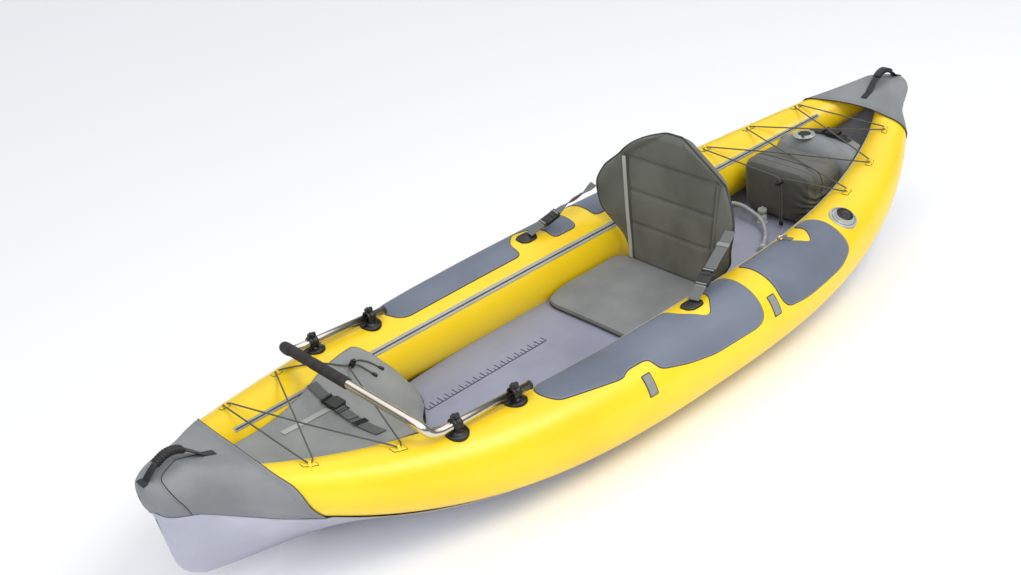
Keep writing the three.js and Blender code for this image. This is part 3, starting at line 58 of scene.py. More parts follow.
def rotated(angle, axis):
    return Matrix.Rotation(angle, 4, axis)


# A node with its settings, then the values or links of its sockets
def addNode(tree, kind, values=None, **settings):
    made = tree.nodes.new(kind)
    for name, value in settings.items():
        setattr(made, name, value)
    for name, value in (values or {}).items():
        if isinstance(value, bpy.types.NodeSocket):
            tree.links.new(value, made.inputs[name])
        else:
            made.inputs[name].default_value = value
    return made


def bothSides(make):
    for side in (port, starboard):
        make(side)


def addObject(name, data):
    made = bpy.data.objects.new(name, data)
    bpy.context.collection.objects.link(made)
    return made


# Camera at the photograph's place
view = {
    "place": (2.3433, 2.5006, 2.1682),
    "heading": -2.2475,
    "downTilt": 0.5091,
    "roll": -0.125,
    "lens": 47.92,
    "sensor": 36.0,
}


def makeCamera():
    data = bpy.data.cameras.new("camera")
    data.lens = view["lens"]
    data.sensor_width = view["sensor"]
    data.clip_end = 200
    camera = addObject("camera", data)
    a, e, roll = view["heading"], view["downTilt"], view["roll"]
    ahead = Vector((math.cos(a) * math.cos(e), math.sin(a) * math.cos(e), -math.sin(e)))
    right = Vector((math.sin(a), -math.cos(a), 0))
    up = right.cross(ahead)
    turnedRight = math.cos(roll) * right + math.sin(roll) * up
    turnedUp = math.cos(roll) * up - math.sin(roll) * right
    turn = Matrix((turnedRight, turnedUp, -ahead)).transposed()
    camera.matrix_world = shift(view["place"]) @ turn.to_4x4()
    bpy.context.scene.camera = camera


makeCamera()
print("camera placed")


# Materials: an output socket wrapped so that sums on it read as sums
class Wire:
    def __init__(self, paint, socket):
        self.paint, self.socket = paint, socket

    def maths(self, operation, *values):
        return self.paint.node("Math", {"operation": operation}, dict(enumerate(values)))

    def __add__(self, other):
        return self.maths("ADD", self, other)

    __radd__ = __add__

    def __sub__(self, other):
        return self.maths("SUBTRACT", self, other)

    def __rsub__(self, other):
        return self.maths("SUBTRACT", other, self)

    def __mul__(self, other):
        return self.maths("MULTIPLY", self, other)

    __rmul__ = __mul__

    def sine(self):
        return self.maths("SINE", self)

    def between(self, low, high):
        settings = {"interpolation_type": "SMOOTHSTEP"}
        return self.paint.node("MapRange", settings, {0: self, 1: low, 2: high})


class Paint:
    def __init__(self, name, slot):
        self.material = bpy.data.materials.new(name)
        self.material.use_nodes = True
        self.tree = self.material.node_tree
        self.tree.nodes.clear()
        self.places = None

    def node(self, kind, settings=None, values=None, out=0):
        values = {k: v.socket if isinstance(v, Wire) else v for k, v in (values or {}).items()}
        made = addNode(self.tree, "ShaderNode" + kind, values, **(settings or {}))
        return Wire(self, made.outputs[out])

    def where(self):
        self.places = self.places or self.node("TexCoord", out="Object")
        return self.places

    def stretched(self, scale):
        return self.node("Mapping", values={"Vector": self.where(), "Scale": scale})

    def noise(self, scale, detail, vector=None):
        values = {"Vector": vector or self.where(), "Scale": scale, "Detail": detail}
        return self.node("TexNoise", values=values)

    def blend(self, factor, first, second):
        values = {0: factor, 6: asColour(first), 7: asColour(second)}
        return self.node("Mix", {"data_type": "RGBA"}, values, out=2)

    def bump(self, height, depth, strength):
        return self.node("Bump", values={"Height": height, "Distance": depth, "Strength": strength})

    def finish(self, **values):
        shader = self.node("BsdfPrincipled", values={k: asColour(v) for k, v in values.items()})
        addNode(self.tree, "ShaderNodeOutputMaterial", {"Surface": shader.socket})
        return self.material


# Screen colour, as the photograph shows it, to the light that the shader wants
def asColour(value):
    if isinstance(value, str):
        parts = [int(value[i:i + 2], 16) / 255 for i in (0, 2, 4)]
        return tuple(((p + 0.055) / 1.055) ** 2.4 if p > 0.04 else p / 12.92 for p in parts) + (1.0,)
    return value


# Places across and along a cloth, in metres
def clothAxes(paint):
    cloth = paint.node("UVMap", {"uv_map": "cloth"})
    return [paint.node("SeparateXYZ", values={0: cloth}, out=i) for i in (0, 1)]


# Weave of two crossing thread directions, as a height from 0 to 1
def weave(paint, pitch):
    across, along = clothAxes(paint)
    wave = 2 * math.pi / pitch
    return ((across * wave).sine() * (along * wave).sine()) * 0.5 + 0.5


def makeShell():
    paint = Paint("yellowShell", "yellow_fabric")
    broad = paint.noise(3.0, 4.0)
    fine = paint.noise(60.0, 5.0)
    colour = paint.blend(broad.between(0.35, 0.7), "f5cd10", "fad61c")
    colour = paint.blend(fine.between(0.55, 0.85) * 0.12, colour, "e9be10")
    creases = paint.noise(5.0, 2.0, paint.stretched((0.5, 1.6, 1.6)))
    height = creases * 0.6 + paint.noise(420.0, 2.0) * 0.03
    return paint.finish(**{
        "Base Color": colour,
        "Roughness": fine.between(0.3, 0.8) * 0.14 + 0.3,
        "Normal": paint.bump(height, 0.006, 0.5),
        "Coat Weight": 0.12,
        "Coat Roughness": 0.25,
    })


def makeCloth(name, slot, dark, light, pitch=0.0016, depth=0.0003, rough=0.72, sheen=0.15):
    paint = Paint(name, slot)
    broad = paint.noise(7.0, 4.0)
    worn = paint.noise(34.0, 6.0)
    threads = weave(paint, pitch)
    colour = paint.blend(broad.between(0.3, 0.72), dark, light)
    colour = paint.blend(worn.between(0.45, 0.8) * 0.25 + threads * 0.12, colour, light)
    folds = paint.noise(16.0, 3.0)
    height = threads * depth + folds * 0.0022
    return paint.finish(**{
        "Base Color": colour,
        "Roughness": worn.between(0.3, 0.8) * 0.12 + rough,
        "Normal": paint.bump(height, 1.0, 0.55),
        "Sheen Weight": sheen,
    })


def makeSheetVinyl(name, slot, dark, light, rough, gloss=0.1, creaseScale=7.0, edge=None):
    paint = Paint(name, slot)
    broad = paint.noise(4.0, 3.0)
    grain = paint.noise(260.0, 3.0)
    scuffs = paint.noise(22.0, 6.0, paint.stretched((0.4, 2.2, 1.0)))
    colour = paint.blend(broad.between(0.32, 0.7), dark, light)
    colour = paint.blend(scuffs.between(0.55, 0.85) * 0.3, colour, light)
    if edge:
        away = paint.node("Attribute", {"attribute_name": "edgeDistance"}, out=2)
        colour = paint.blend((1 - away.between(0.004, 0.0075)) * 0.45, colour, edge[1])
        colour = paint.blend(1 - away.between(0.0022, 0.0036), colour, edge[0])
    creases = paint.noise(creaseScale, 2.0)
    height = creases * 0.005 + grain * 0.00035
    return paint.finish(**{
        "Base Color": colour,
        "Roughness": scuffs.between(0.3, 0.8) * 0.15 + rough,
        "Normal": paint.bump(height, 1.0, 0.5),
        "Coat Weight": gloss,
        "Coat Roughness": 0.35,
    })


# Cross ribs of woven tape, with fine cords running along it
def makeWebbing(name, dark, light, slot="webbing"):
    paint = Paint(name, slot)
    across, along = clothAxes(paint)
    ribs = (along * (2 * math.pi / 0.0022)).sine() * 0.5 + 0.5
    cords = (across * (2 * math.pi / 0.0034)).sine() * 0.5 + 0.5
    worn = paint.noise(45.0, 5.0)
    colour = paint.blend(ribs * 0.45 + cords * 0.2, dark, light)
    colour = paint.blend(worn.between(0.5, 0.8) * 0.3, colour, light)
    return paint.finish(**{
        "Base Color": colour,
        "Roughness": worn * 0.2 + 0.68,
        "Normal": paint.bump(ribs * 0.6 + cords * 0.4, 0.0006, 0.6),
        "Sheen Weight": 0.1,
    })


def makeMoulded(name, slot, dark, light, rough):
    paint = Paint(name, slot)
    grain = paint.noise(520.0, 3.0)
    worn = paint.noise(38.0, 5.0)
    colour = paint.blend(worn.between(0.4, 0.8), dark, light)
    return paint.finish(**{
        "Base Color": colour,
        "Roughness": grain.between(0.3, 0.7) * 0.12 + rough,
        "Normal": paint.bump(grain, 0.0003, 0.5),
    })


def makeFoam():
    paint = Paint("foamGrip", "foam")
    cells = paint.node("TexVoronoi", values={"Vector": paint.where(), "Scale": 520.0})
    worn = paint.noise(30.0, 5.0)
    colour = paint.blend(worn.between(0.35, 0.75), "262424", "3a3635")
    return paint.finish(**{
        "Base Color": colour,
        "Roughness": 0.93 - cells * 0.08,
        "Normal": paint.bump(cells, 0.0006, 0.7),
    })


def makeMetal(name, slot, light, dark, rough):
    paint = Paint(name, slot)
    brushed = paint.noise(60.0, 3.0, paint.stretched((0.1, 5.0, 5.0)))
    spots = paint.noise(7.0, 3.0)
    colour = paint.blend(spots.between(0.3, 0.8) * 0.6, light, dark)
    return paint.finish(**{
        "Base Color": colour,
        "Metallic": 1.0,
        "Roughness": brushed * 0.08 + rough,
        "Normal": paint.bump(brushed, 0.0001, 0.2),
    })


# Braided cord: two thread directions wound round it
def makeBraid():
    paint = Paint("braidedCord", "black_webbing")
    across, along = clothAxes(paint)
    one = ((across * 455.0 + along * 900.0) * 2.0).sine()
    two = ((across * 455.0 - along * 900.0) * 2.0).sine()
    threads = one * two * 0.5 + 0.5
    colour = paint.blend(threads, "3b3c39", "6a6b66")
    return paint.finish(**{
        "Base Color": colour,
        "Roughness": threads * 0.1 + 0.7,
        "Normal": paint.bump(threads, 0.0006, 0.6),
    })


paints = {
    "shell": makeShell(),
    "cover": makeCloth("coverCloth", "cover_fabric", "7a7d7f", "8a8d8f", rough=0.6, sheen=0.05),
    "brace": makeCloth("braceCloth", "cover_fabric", "828584", "949693", rough=0.6, sheen=0.05),
    "keel": makeSheetVinyl("keelVinyl", "floor_fabric", "a9aab8", "bcbdcb", 0.42, 0.15, 13.0),
    "floor": makeSheetVinyl("floorVinyl", "floor_fabric", "83869a", "9396a9", 0.55),
    "patch": makeSheetVinyl("patchSheet", "patch_fabric", "5f6674", "6f7685", 0.58, 0.05,
                            edge=("3f444e", "8a90a0")),
    "strip": makeSheetVinyl("stripTape", "strip_fabric", "a3a5a0", "b7b9b3", 0.5),
    "pad": makeCloth("paddedCloth", "padded_cloth", "53554e", "676961", pitch=0.0018),
    "seat": makeCloth("seatCloth", "padded_cloth", "747778", "86898a", pitch=0.0018),
    "bag": makeCloth("bagCloth", "padded_cloth", "50514b", "66675f", pitch=0.002, depth=0.0004),
    # Darker copy of the bag cloth: painted shade for the bag's front face
    "bagPanel": makeCloth("bagShadedFrontCloth", "padded_cloth", "393a35", "4c4d47", pitch=0.002, depth=0.0004),
    "webbing": makeWebbing("greyWebbing", "5b5e5c", "7c7f7d"),
    "darkWebbing": makeWebbing("darkWebbing", "4a4b4a", "686a69"),
    "lightWebbing": makeWebbing("lightWebbing", "7d807e", "9c9f9c"),
    "thread": makeMoulded("sewingThread", "webbing", "5d605e", "75787a", 0.7),
    "blackWebbing": makeWebbing("blackWebbing", "161617", "2a2b2c", "black_webbing"),
    "black": makeMoulded("blackPlastic", "black_plastic", "111112", "242425", 0.36),
    "piping": makeMoulded("darkPiping", "black_webbing", "2a2b2d", "3d3f42", 0.55),
    "grey": makeMoulded("greyPlastic", "grey_plastic", "a4a7a5", "bfc1bf", 0.4),
    "hose": makeMoulded("hosePlastic", "grey_plastic", "9da0a6", "b9bcc2", 0.3),
    "foam": makeFoam(),
    "metal": makeMetal("satinMetal", "satin_metal", "d6cfc6", "c2bab1", 0.16),
    "wire": makeMetal("steelWire", "steel_wire", "b9b7b2", "8f8c86", 0.22),
    "braid": makeBraid(),
    "ink": makeMoulded("rulerInk", "floor_fabric", "2e2f3d", "3a3b4a", 0.6),
}
print("materials mixed:", len(paints))


# Value on a smooth line through [place, value] pairs that never overshoots them
def smooth(table, places):
    xs, ys = np.array(table, float).T
    steps = np.diff(xs)
    slopes = np.diff(ys) / steps
    bends = np.zeros(len(xs))
    for i in range(1, len(xs) - 1):
        if slopes[i - 1] * slopes[i] > 0:
            a, b = 2 * steps[i] + steps[i - 1], steps[i] + 2 * steps[i - 1]
            bends[i] = (a + b) / (a / slopes[i - 1] + b / slopes[i])
    bends[0], bends[-1] = slopes[0], slopes[-1]
    places = clamp(np.asarray(places, float), xs[0], xs[-1])
    k = clamp(np.searchsorted(xs, places, side="right") - 1, 0, len(xs) - 2)
    t = (places - xs[k]) / steps[k]
    first = (1 + 2 * t) * (1 - t) ** 2 * ys[k] + t * (1 - t) ** 2 * steps[k] * bends[k]
    return first + t * t * (3 - 2 * t) * ys[k + 1] + t * t * (t - 1) * steps[k] * bends[k + 1]


def straight(table, places):
    xs, ys = np.array(table, float).T
    return np.interp(places, xs, ys)


def stepUp(t):
    t = clamp(t, 0, 1)
    return t * t * (3 - 2 * t)


def circle(count):
    return np.linspace(0, 2 * math.pi, count, endpoint=False)


# Points on a bend from start to end that leans towards the corner
def bend(start, corner, end, steps):
    t = np.linspace(0, 1, steps)[:, None]
    return (1 - t) ** 2 * start + 2 * t * (1 - t) * corner + t * t * end


def unit(vectors):
    return vectors / np.linalg.norm(vectors, axis=-1, keepdims=True)


# Soft ripples that repeat the same way each run
def ripple(points, scale, seed):
    p = np.asarray(points) * scale + seed
    a = np.sin(p[..., 0] * 1.0 + 1.7 * np.sin(p[..., 1] * 0.8 + seed))
    b = np.sin(p[..., 1] * 1.3 + 1.2 * np.sin(p[..., 2] * 0.9 + 2 * seed))
    c = np.sin(p[..., 2] * 1.1 + 1.5 * np.sin(p[..., 0] * 0.7 + 3 * seed))
    return (a + b + c) / 3


# Object from points, faces and the places of its corners on the cloth
def addMesh(name, points, faces, paint, corners=None, flatShade=False):
    mesh = bpy.data.meshes.new(name)
    mesh.from_pydata([tuple(map(float, p)) for p in points], [], faces)
    if corners is not None:
        layer = mesh.uv_layers.new(name="cloth")
        layer.data.foreach_set("uv", np.asarray(corners, np.float32).ravel())
    mesh.materials.append(paints[paint])
    mesh.polygons.foreach_set("use_smooth", [not flatShade] * len(mesh.polygons))
    mesh.update()
    return addObject(name, mesh)


# Surface through rows of points, rolled up on itself or closed at its ends where asked
def addGrid(name, rows, paint, rolled=False, ends=False, flip=False):
    rows = np.asarray(rows, float)
    n, m = rows.shape[:2]
    along = np.concatenate([[0], np.cumsum(np.linalg.norm(np.diff(rows, axis=0), axis=2).mean(axis=1))])
    wide = np.concatenate([rows, rows[:, :1]], axis=1) if rolled else rows
    gaps = np.linalg.norm(np.diff(wide, axis=1), axis=2)
    across = np.concatenate([np.zeros((n, 1)), np.cumsum(gaps, axis=1)], axis=1)
    points = rows.reshape(-1, 3).tolist()
    faces, corners = [], []

    def put(face, places):
        if flip:
            face, places = face[::-1], places[::-1]
        faces.append(face)
        corners.extend(places)

    for i in range(n - 1):
        for j in range(m if rolled else m - 1):
            k = (j + 1) % m
            put([i * m + j, i * m + k, (i + 1) * m + k, (i + 1) * m + j], [
                (across[i, j], along[i]), (across[i, j + 1], along[i]),
                (across[i + 1, j + 1], along[i + 1]), (across[i + 1, j], along[i + 1]),
            ])
    if ends:
        for i, turned in ((0, True), (n - 1, False)):
            middle = rows[i].mean(axis=0)
            points.append(middle.tolist())
            for j in range(m):
                k = (j + 1) % m
                face = [i * m + j, i * m + k, len(points) - 1]
                places = [(rows[i, j] - middle)[1:], (rows[i, k] - middle)[1:], (0, 0)]
                put(face[::-1] if turned else face, places[::-1] if turned else places)
    return addMesh(name, points, faces, paint, corners)


def orient(piece, merge=1e-6):
    build = bmesh.new()
    build.from_mesh(piece.data)
    bmesh.ops.remove_doubles(build, verts=build.verts, dist=merge)
    bmesh.ops.recalc_face_normals(build, faces=build.faces)
    build.to_mesh(piece.data)
    build.free()
    return piece


def withModifier(piece, kind, **settings):
    modifier = piece.modifiers.new(kind.lower(), kind)
    for name, value in settings.items():
        setattr(modifier, name, value)
    return piece


def thicken(piece, thickness):
    return withModifier(piece, "SOLIDIFY", thickness=thickness, offset=-1, use_even_offset=True)


def rounded(piece, width, segments=2):
    return withModifier(piece, "BEVEL", width=width, segments=segments, limit_method="ANGLE")


def place(piece, *nodes, body="hull"):
    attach(piece, body)
    if nodes:
        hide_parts(*nodes)
    return piece


# Frames that turn as little as they can along a path
def framesAlong(path, firstUp=(0, 0, 1)):
    path = np.asarray(path, float)
    ahead = unit(np.gradient(path, axis=0))
    up = np.array(firstUp, float)
    ups = []
    for direction in ahead:
        up = unit(up - direction * up.dot(direction))
        ups.append(up)
    ups = np.array(ups)
    return ahead, np.cross(ups, ahead), ups


# Points at even spacing on a smooth line through the given ones
def smoothPath(points, count, closed=False):
    points = np.asarray(points, float)
    if closed:
        points = np.concatenate([points[-1:], points, points[:2]])
    else:
        points = np.concatenate([2 * points[:1] - points[1:2], points, 2 * points[-1:] - points[-2:-1]])
    fine = []
    for p0, p1, p2, p3 in zip(points, points[1:], points[2:], points[3:]):
        d1, d2, d3 = (max(np.linalg.norm(b - a) ** 0.5, 1e-6) for a, b in ((p0, p1), (p1, p2), (p2, p3)))
        m1 = (p2 - p1) + d2 * ((p1 - p0) / d1 - (p2 - p0) / (d1 + d2))
        m2 = (p2 - p1) + d2 * ((p3 - p2) / d3 - (p3 - p1) / (d2 + d3))
        for t in np.linspace(0, 1, 24, endpoint=False):
            fine.append((2 * t**3 - 3 * t**2 + 1) * p1 + (t**3 - 2 * t**2 + t) * m1
                        + (3 * t**2 - 2 * t**3) * p2 + (t**3 - t**2) * m2)
    fine.append(points[-2])
    return evenly(fine, count)


def evenly(points, count):
    points = np.asarray(points, float)
    run = np.concatenate([[0], np.cumsum(np.linalg.norm(np.diff(points, axis=0), axis=1))])
    wanted = np.linspace(0, run[-1], count)
    return np.stack([np.interp(wanted, run, points[:, i]) for i in range(points.shape[1])], axis=1)


# Round bar along a path, with its radius as one value or one for each point
def addRod(name, path, radius, paint, sides=12, up=(0, 0, 1)):
    path = np.asarray(path, float)
    radius = np.broadcast_to(np.asarray(radius, float), (len(path),))
    _, right, above = framesAlong(path, up)
    turns = circle(sides)
    ring = right[:, None] * np.cos(turns)[None, :, None] + above[:, None] * np.sin(turns)[None, :, None]
    rows = path[:, None] + ring * radius[:, None, None]
    return orient(addGrid(name, rows, paint, rolled=True, ends=True))


# Flat band along a path: half width and half thickness, lying square to the given ups
def bandRows(path, rights, ups, halfWidth, halfThickness):
    path, rights, ups = (np.asarray(v, float) for v in (path, rights, ups))
    halfWidth = np.broadcast_to(np.asarray(halfWidth, float), (len(path),))[:, None]
    halfThickness = np.broadcast_to(np.asarray(halfThickness, float), (len(path),))[:, None]
    upper = [(-1, 0), (-0.97, 0.85), (-0.85, 1), (-0.5, 1), (0, 1), (0.5, 1), (0.85, 1), (0.97, 0.85)]
    ring = upper + [(-u, -v) for u, v in upper]
    return np.stack([path + rights * halfWidth * u + ups * halfThickness * v for u, v in ring], axis=1)


# Rod round a closed loop
def addLoopRod(name, path, radius, paint, body, sides=8):
    path = np.asarray(path, float)
    ahead = unit(np.roll(path, -1, 0) - np.roll(path, 1, 0))
    up = (0, 0, 1) if abs(ahead[:, 2]).max() < 0.9 else (1, 0, 0)
    right = unit(np.cross(ahead, up))
    above = np.cross(right, ahead)
    turns = circle(sides)
    ring = right[:, None] * np.cos(turns)[:, None] + above[:, None] * np.sin(turns)[:, None]
    rows = path[:, None] + radius * ring
    rows = np.concatenate([rows, rows[:1]])
    return place(orient(addGrid(name, rows, paint, rolled=True)), body=body)


# Flat strip of webbing along points, with its face towards ups
def bandBetween(name, points, ups, width, thickness, paint):
    points = np.asarray(points, float)
    ahead = unit(np.gradient(points, axis=0))
    rights = unit(np.cross(ahead, ups))
    ups = np.cross(rights, ahead)
    rows = bandRows(points, rights, ups, width / 2, thickness / 2)
    return orient(addGrid(name, rows, paint, rolled=True, ends=True))


def upOf(turn):
    return np.array(turn.to_3x3() @ Vector((0, 0, 1)))


def inFrame(turn, points):
    matrix = np.array(turn)
    return np.asarray(points, float) @ matrix[:3, :3].T + matrix[:3, 3]


# Turned piece: outline of radius and height, turned about a frame's Z
def addTurned(name, profile, turn, paint, sides=48):
    profile = np.asarray(profile, float)
    angles = circle(sides)
    rows = np.stack([
        profile[:, :1] * np.cos(angles), profile[:, :1] * np.sin(angles),
        np.repeat(profile[:, 1:], sides, axis=1),
    ], axis=2)
    piece = addGrid(name, rows, paint, rolled=True)
    piece.data.transform(turn)
    return orient(piece, 1e-5)


# Outline of a ring to be turned, with its outer edges broken
def ringOutline(inner, outer, half, inward, down):
    return [(inner, -half), (outer - inward, -half), (outer, down - half), (outer, half - down),
            (outer - inward, half), (inner, half), (inner, -half)]


def toFrame(origin, ahead, up):
    up = Vector(up).normalized()
    ahead = Vector(ahead)
    ahead = (ahead - up * ahead.dot(up)).normalized()
    turn = Matrix((ahead, up.cross(ahead), up)).transposed().to_4x4()
    return shift(Vector(origin)) @ turn


# Hull form, in metres, with places along it as shares
hull = {
    "half": 1.475,
    "tubeHalf": 1.370,
    "noseReach": 0.105,
    "spread": 0.342,
    "level": 0.1535,
    "radius": 0.123,
    "tipRadius": 0.041,
    "tipSide": 0.052,
    "tipRise": 0.205,
    "spreadPower": 2.95,
    "risePower": 3.05,
    "taperPower": 2.35,
    "noseRadius": 0.023,
    "pinch": 0.24,
    "pinchStart": 1.2,
    "pinchReach": 0.2,
    "noseHalfWidth": 0.012,
    "skinLift": 0.004,
    "skinThickness": 0.0022,
    "sagShare": 0.12,
    "bottomFlat": 0.19,
    "keelHalfWidth": 0.0015,
    "endRounding": 0.016,
    "topSteps": 14,
    "arcSteps": 40,
    "wallSteps": 22,
    "lipStartShare": 0.829,
    "lipRise": [[0, 0.55], [0.3, 0.637], [0.55, 0.722], [0.75, 0.8], [0.9, 0.845], [1, 0.86]],
    "keelRise": [[0, 0], [0.73, 0], [0.846, 0.073], [0.925, 0.134], [1, 0.2]],
    "noseRise": [[0, 0.2], [0.424, 0.296], [0.593, 0.385], [0.691, 0.6], [0.775, 0.82], [1, 0.9]],
}
lipStart = hull["lipStartShare"] * hull["tubeHalf"]
tipHeight = hull["level"] + hull["tipRise"]


# Cross section of a tube, or of the covers beyond the tubes' tips
def section(x):
    x = np.abs(np.asarray(x, float))
    share = np.minimum(x / hull["tubeHalf"], 1)
    narrow = hull["spread"] - hull["tipSide"]
    y = hull["spread"] - narrow * share ** hull["spreadPower"]
    z = hull["level"] + hull["tipRise"] * share ** hull["risePower"]
    radius = hull["radius"] - (hull["radius"] - hull["tipRadius"]) * share ** hull["taperPower"]
    turn = narrow * hull["spreadPower"] * share ** (hull["spreadPower"] - 1) / hull["tubeHalf"]
    climb = hull["tipRise"] * hull["risePower"] * share ** (hull["risePower"] - 1) / hull["tubeHalf"]
    wide = np.minimum(radius * np.hypot(1, turn), y - 0.004)
    tall = radius * np.hypot(1, climb)
    pinch = 1 - hull["pinch"] * stepUp((x - hull["pinchStart"]) / hull["pinchReach"])
    y, wide = y * pinch, wide * pinch
    beyond = clamp((x - hull["tubeHalf"]) / hull["noseReach"], 0, 1)
    halfWidth = np.maximum((y + wide) * np.sqrt(1 - beyond ** 2), hull["noseHalfWidth"])
    noseWide = np.minimum(wide + (hull["noseRadius"] - wide) * beyond, halfWidth - 0.003)
    out = beyond > 0
    y = np.where(out, halfWidth - noseWide, y)
    wide = np.where(out, noseWide, wide)
    tall = np.where(out, tall + (hull["noseRadius"] - tall) * beyond, tall)
    return y, z, wide, tall


# Point on a tube: angle in degrees outboard from its top
def onTube(x, angle, lift=0.0, side=port):
    y, z, wide, tall = section(x)
    turn = np.radians(angle)
    points = np.stack(np.broadcast_arrays(
        np.asarray(x, float), side * (y + (wide + lift) * np.sin(turn)), z + (tall + lift) * np.cos(turn)),
        axis=-1)
    return points


def tubeFrame(x, angle, lift, side):
    ahead = Vector(onTube(x + 0.004, angle, 0, side) - onTube(x - 0.004, angle, 0, side))
    outboard = Vector(onTube(x, angle + 1, 0, side) - onTube(x, angle - 1, 0, side)) * side
    up = ahead.cross(outboard)
    return toFrame(Vector(onTube(x, angle, 0, side)) + up.normalized() * lift, ahead, up)


def keelLevel(x):
    x = np.abs(x)
    beyond = (x - hull["tubeHalf"]) / hull["noseReach"]
    along = smooth(hull["keelRise"], x / hull["tubeHalf"])
    return tipHeight * np.where(beyond > 0, smooth(hull["noseRise"], beyond), along)


def lipLevel(x):
    along = (np.abs(x) - lipStart) / (hull["half"] - lipStart)
    return tipHeight * float(straight(hull["lipRise"], along))


# Half of the skin's cross section from the crest between the tubes down to the keel
def skinLine(x, lift):
    y, z, wide, tall = (float(v) for v in section(x))
    keel = float(keelLevel(x))
    flatEnd = hull["keelRise"][1][0] * hull["tubeHalf"]
    spread = 1 - min(abs(x) / flatEnd, 1) ** hull["spreadPower"]
    flat = max(hull["bottomFlat"] * spread, hull["keelHalfWidth"])
    across, down = wide + hull["skinLift"], tall + hull["skinLift"]
    dy, dz = (y - flat) / across, (z - keel) / down
    leave = math.atan2(-dz, -dy) + math.acos(min(1, 1 / math.hypot(dy, dz)))
    leave = math.atan2(math.cos(leave), math.sin(leave))
    crest = z + tall + lift - hull["sagShare"] * y
    t = np.linspace(0, 1, hull["topSteps"], endpoint=False)
    top = np.stack([t * y, crest + hull["sagShare"] * y * t * t * (3 - 2 * t)], axis=1)
    angles = np.linspace(0, leave, hull["arcSteps"])
    arc = np.stack([y + (wide + lift) * np.sin(angles), z + (tall + lift) * np.cos(angles)], axis=1)
    foot = np.array([flat, keel + hull["skinLift"] - lift])
    s = np.linspace(0, 1, hull["wallSteps"] + 1)[1:, None]
    return top, arc, arc[-1] + (foot - arc[-1]) * s


# The hull's end is rounded off over its last millimetres
def roundedEnd(points):
    far = np.abs(points[..., 0])
    start = hull["half"] - hull["endRounding"]
    q = clamp((far - start) / hull["endRounding"], 0, 1)
    shrink = np.sqrt(np.maximum(1 - q ** 2, 0.02))
    middle = hull["level"] + hull["tipRise"]
    points[..., 1] *= shrink
    points[..., 2] = middle + (points[..., 2] - middle) * shrink
    return points


# Tubes
tubes = {"stations": 190, "sides": 72, "dome": 0.036}


def makeTube(side):
    reach = hull["tubeHalf"] + tubes["dome"]
    t = np.linspace(-1, 1, tubes["stations"])
    x = reach * np.sin(t * math.pi / 2) * 0.35 + reach * t * 0.65
    out = clamp((np.abs(x) - hull["tubeHalf"]) / (tubes["dome"] + 1e-9), 0, 1)
    y, z, wide, tall = section(np.minimum(np.abs(x), hull["tubeHalf"]))
    shrink = np.sqrt(np.maximum(1 - out ** 2, 0.0009))
    angles = circle(tubes["sides"])
    rows = np.stack(np.broadcast_arrays(
        x[:, None], side * (y[:, None] + (wide * shrink)[:, None] * np.sin(angles)),
        z[:, None] + (tall * shrink)[:, None] * np.cos(angles)), axis=2)
    name = sideNames[side]
    piece = orient(addGrid(f"{name}Tube", rows, "shell", rolled=True, ends=True))
    return place(piece, f"tube_{name}")


bothSides(makeTube)
print("tubes inflated")


# Bottom skin with the keel panels that rise to the covers' lips
bottom = {
    "end": hull["tubeHalf"] + 0.86 * hull["noseReach"],
    "sternLipStart": 0.8375 * hull["half"],
    "stations": 260,
    "sideSteps": 16,
    "floorSteps": 14,
    "chineRounding": 0.02,
    "edgeGap": 0.0006,
    "pipeRadius": 0.0024,
    "pipeStart": 0.62,
    "foldDepth": 0.0032,
    "foldStart": 1.12,
    "foldReach": 0.12,
    "foldWaves": (95.0, 31.0, 47.0),
}


def bottomHalf(x):
    _, arc, wall = skinLine(x, hull["skinLift"])
    start = arc[-1]
    foot = wall[-1]
    under = lipStart if x > 0 else bottom["sternLipStart"]
    level = lipLevel(x) - bottom["edgeGap"] if abs(x) >= under else start[1]
    t = min(max((level - foot[1]) / max(start[1] - foot[1], 1e-6), 0), 1)
    high = foot + (start - foot) * t
    inward = np.array([0.0, foot[1]])
    corner = min(bottom["chineRounding"], np.linalg.norm(high - foot) * 0.45, max(foot[0] * 0.45, 0.0008))
    a = foot + (high - foot) / max(np.linalg.norm(high - foot), 1e-6) * corner
    b = foot + np.array([-1.0, 0.0]) * corner
    side = high + (a - high) * np.linspace(0, 1, bottom["sideSteps"], endpoint=False)[:, None]
    flat = b + (inward - b) * np.linspace(0, 1, bottom["floorSteps"])[1:, None]
    return np.concatenate([side, bend(a, foot, b, 7), flat])


def makeBottom():
    end = bottom["end"]
    t = np.linspace(-1, 1, bottom["stations"])
    xs = end * (0.5 * t + 0.5 * np.sin(t * math.pi / 2))
    rows = []
    for x in xs:
        half = bottomHalf(x)
        rise = clamp((abs(x) - bottom["foldStart"]) / bottom["foldReach"], 0, 1)
        edge = clamp(np.arange(len(half)) / bottom["sideSteps"], 0, 1)
        fine, bent, broad = (abs(x) * wave for wave in bottom["foldWaves"])
        folds = np.sin(fine - edge * 5.0 + 1.6 * np.sin(bent)) * 0.6 + np.sin(broad + edge * 4.0) * 0.4
        fade = rise * stepUp(edge * 5) * (1 - stepUp((edge - 0.1) / 0.8))
        half = half + np.stack([folds * fade * bottom["foldDepth"], np.zeros(len(half))], axis=1)
        both = np.concatenate([half * (1, 1), half[-2::-1] * (-1, 1)])
        rows.append(np.column_stack([np.full(len(both), x), both]))
    piece = addGrid("bottomSkin", rows, "keel")
    withModifier(orient(piece), "SOLIDIFY", thickness=hull["skinThickness"], offset=-1)
    place(piece, "hull_bottom")


makeBottom()


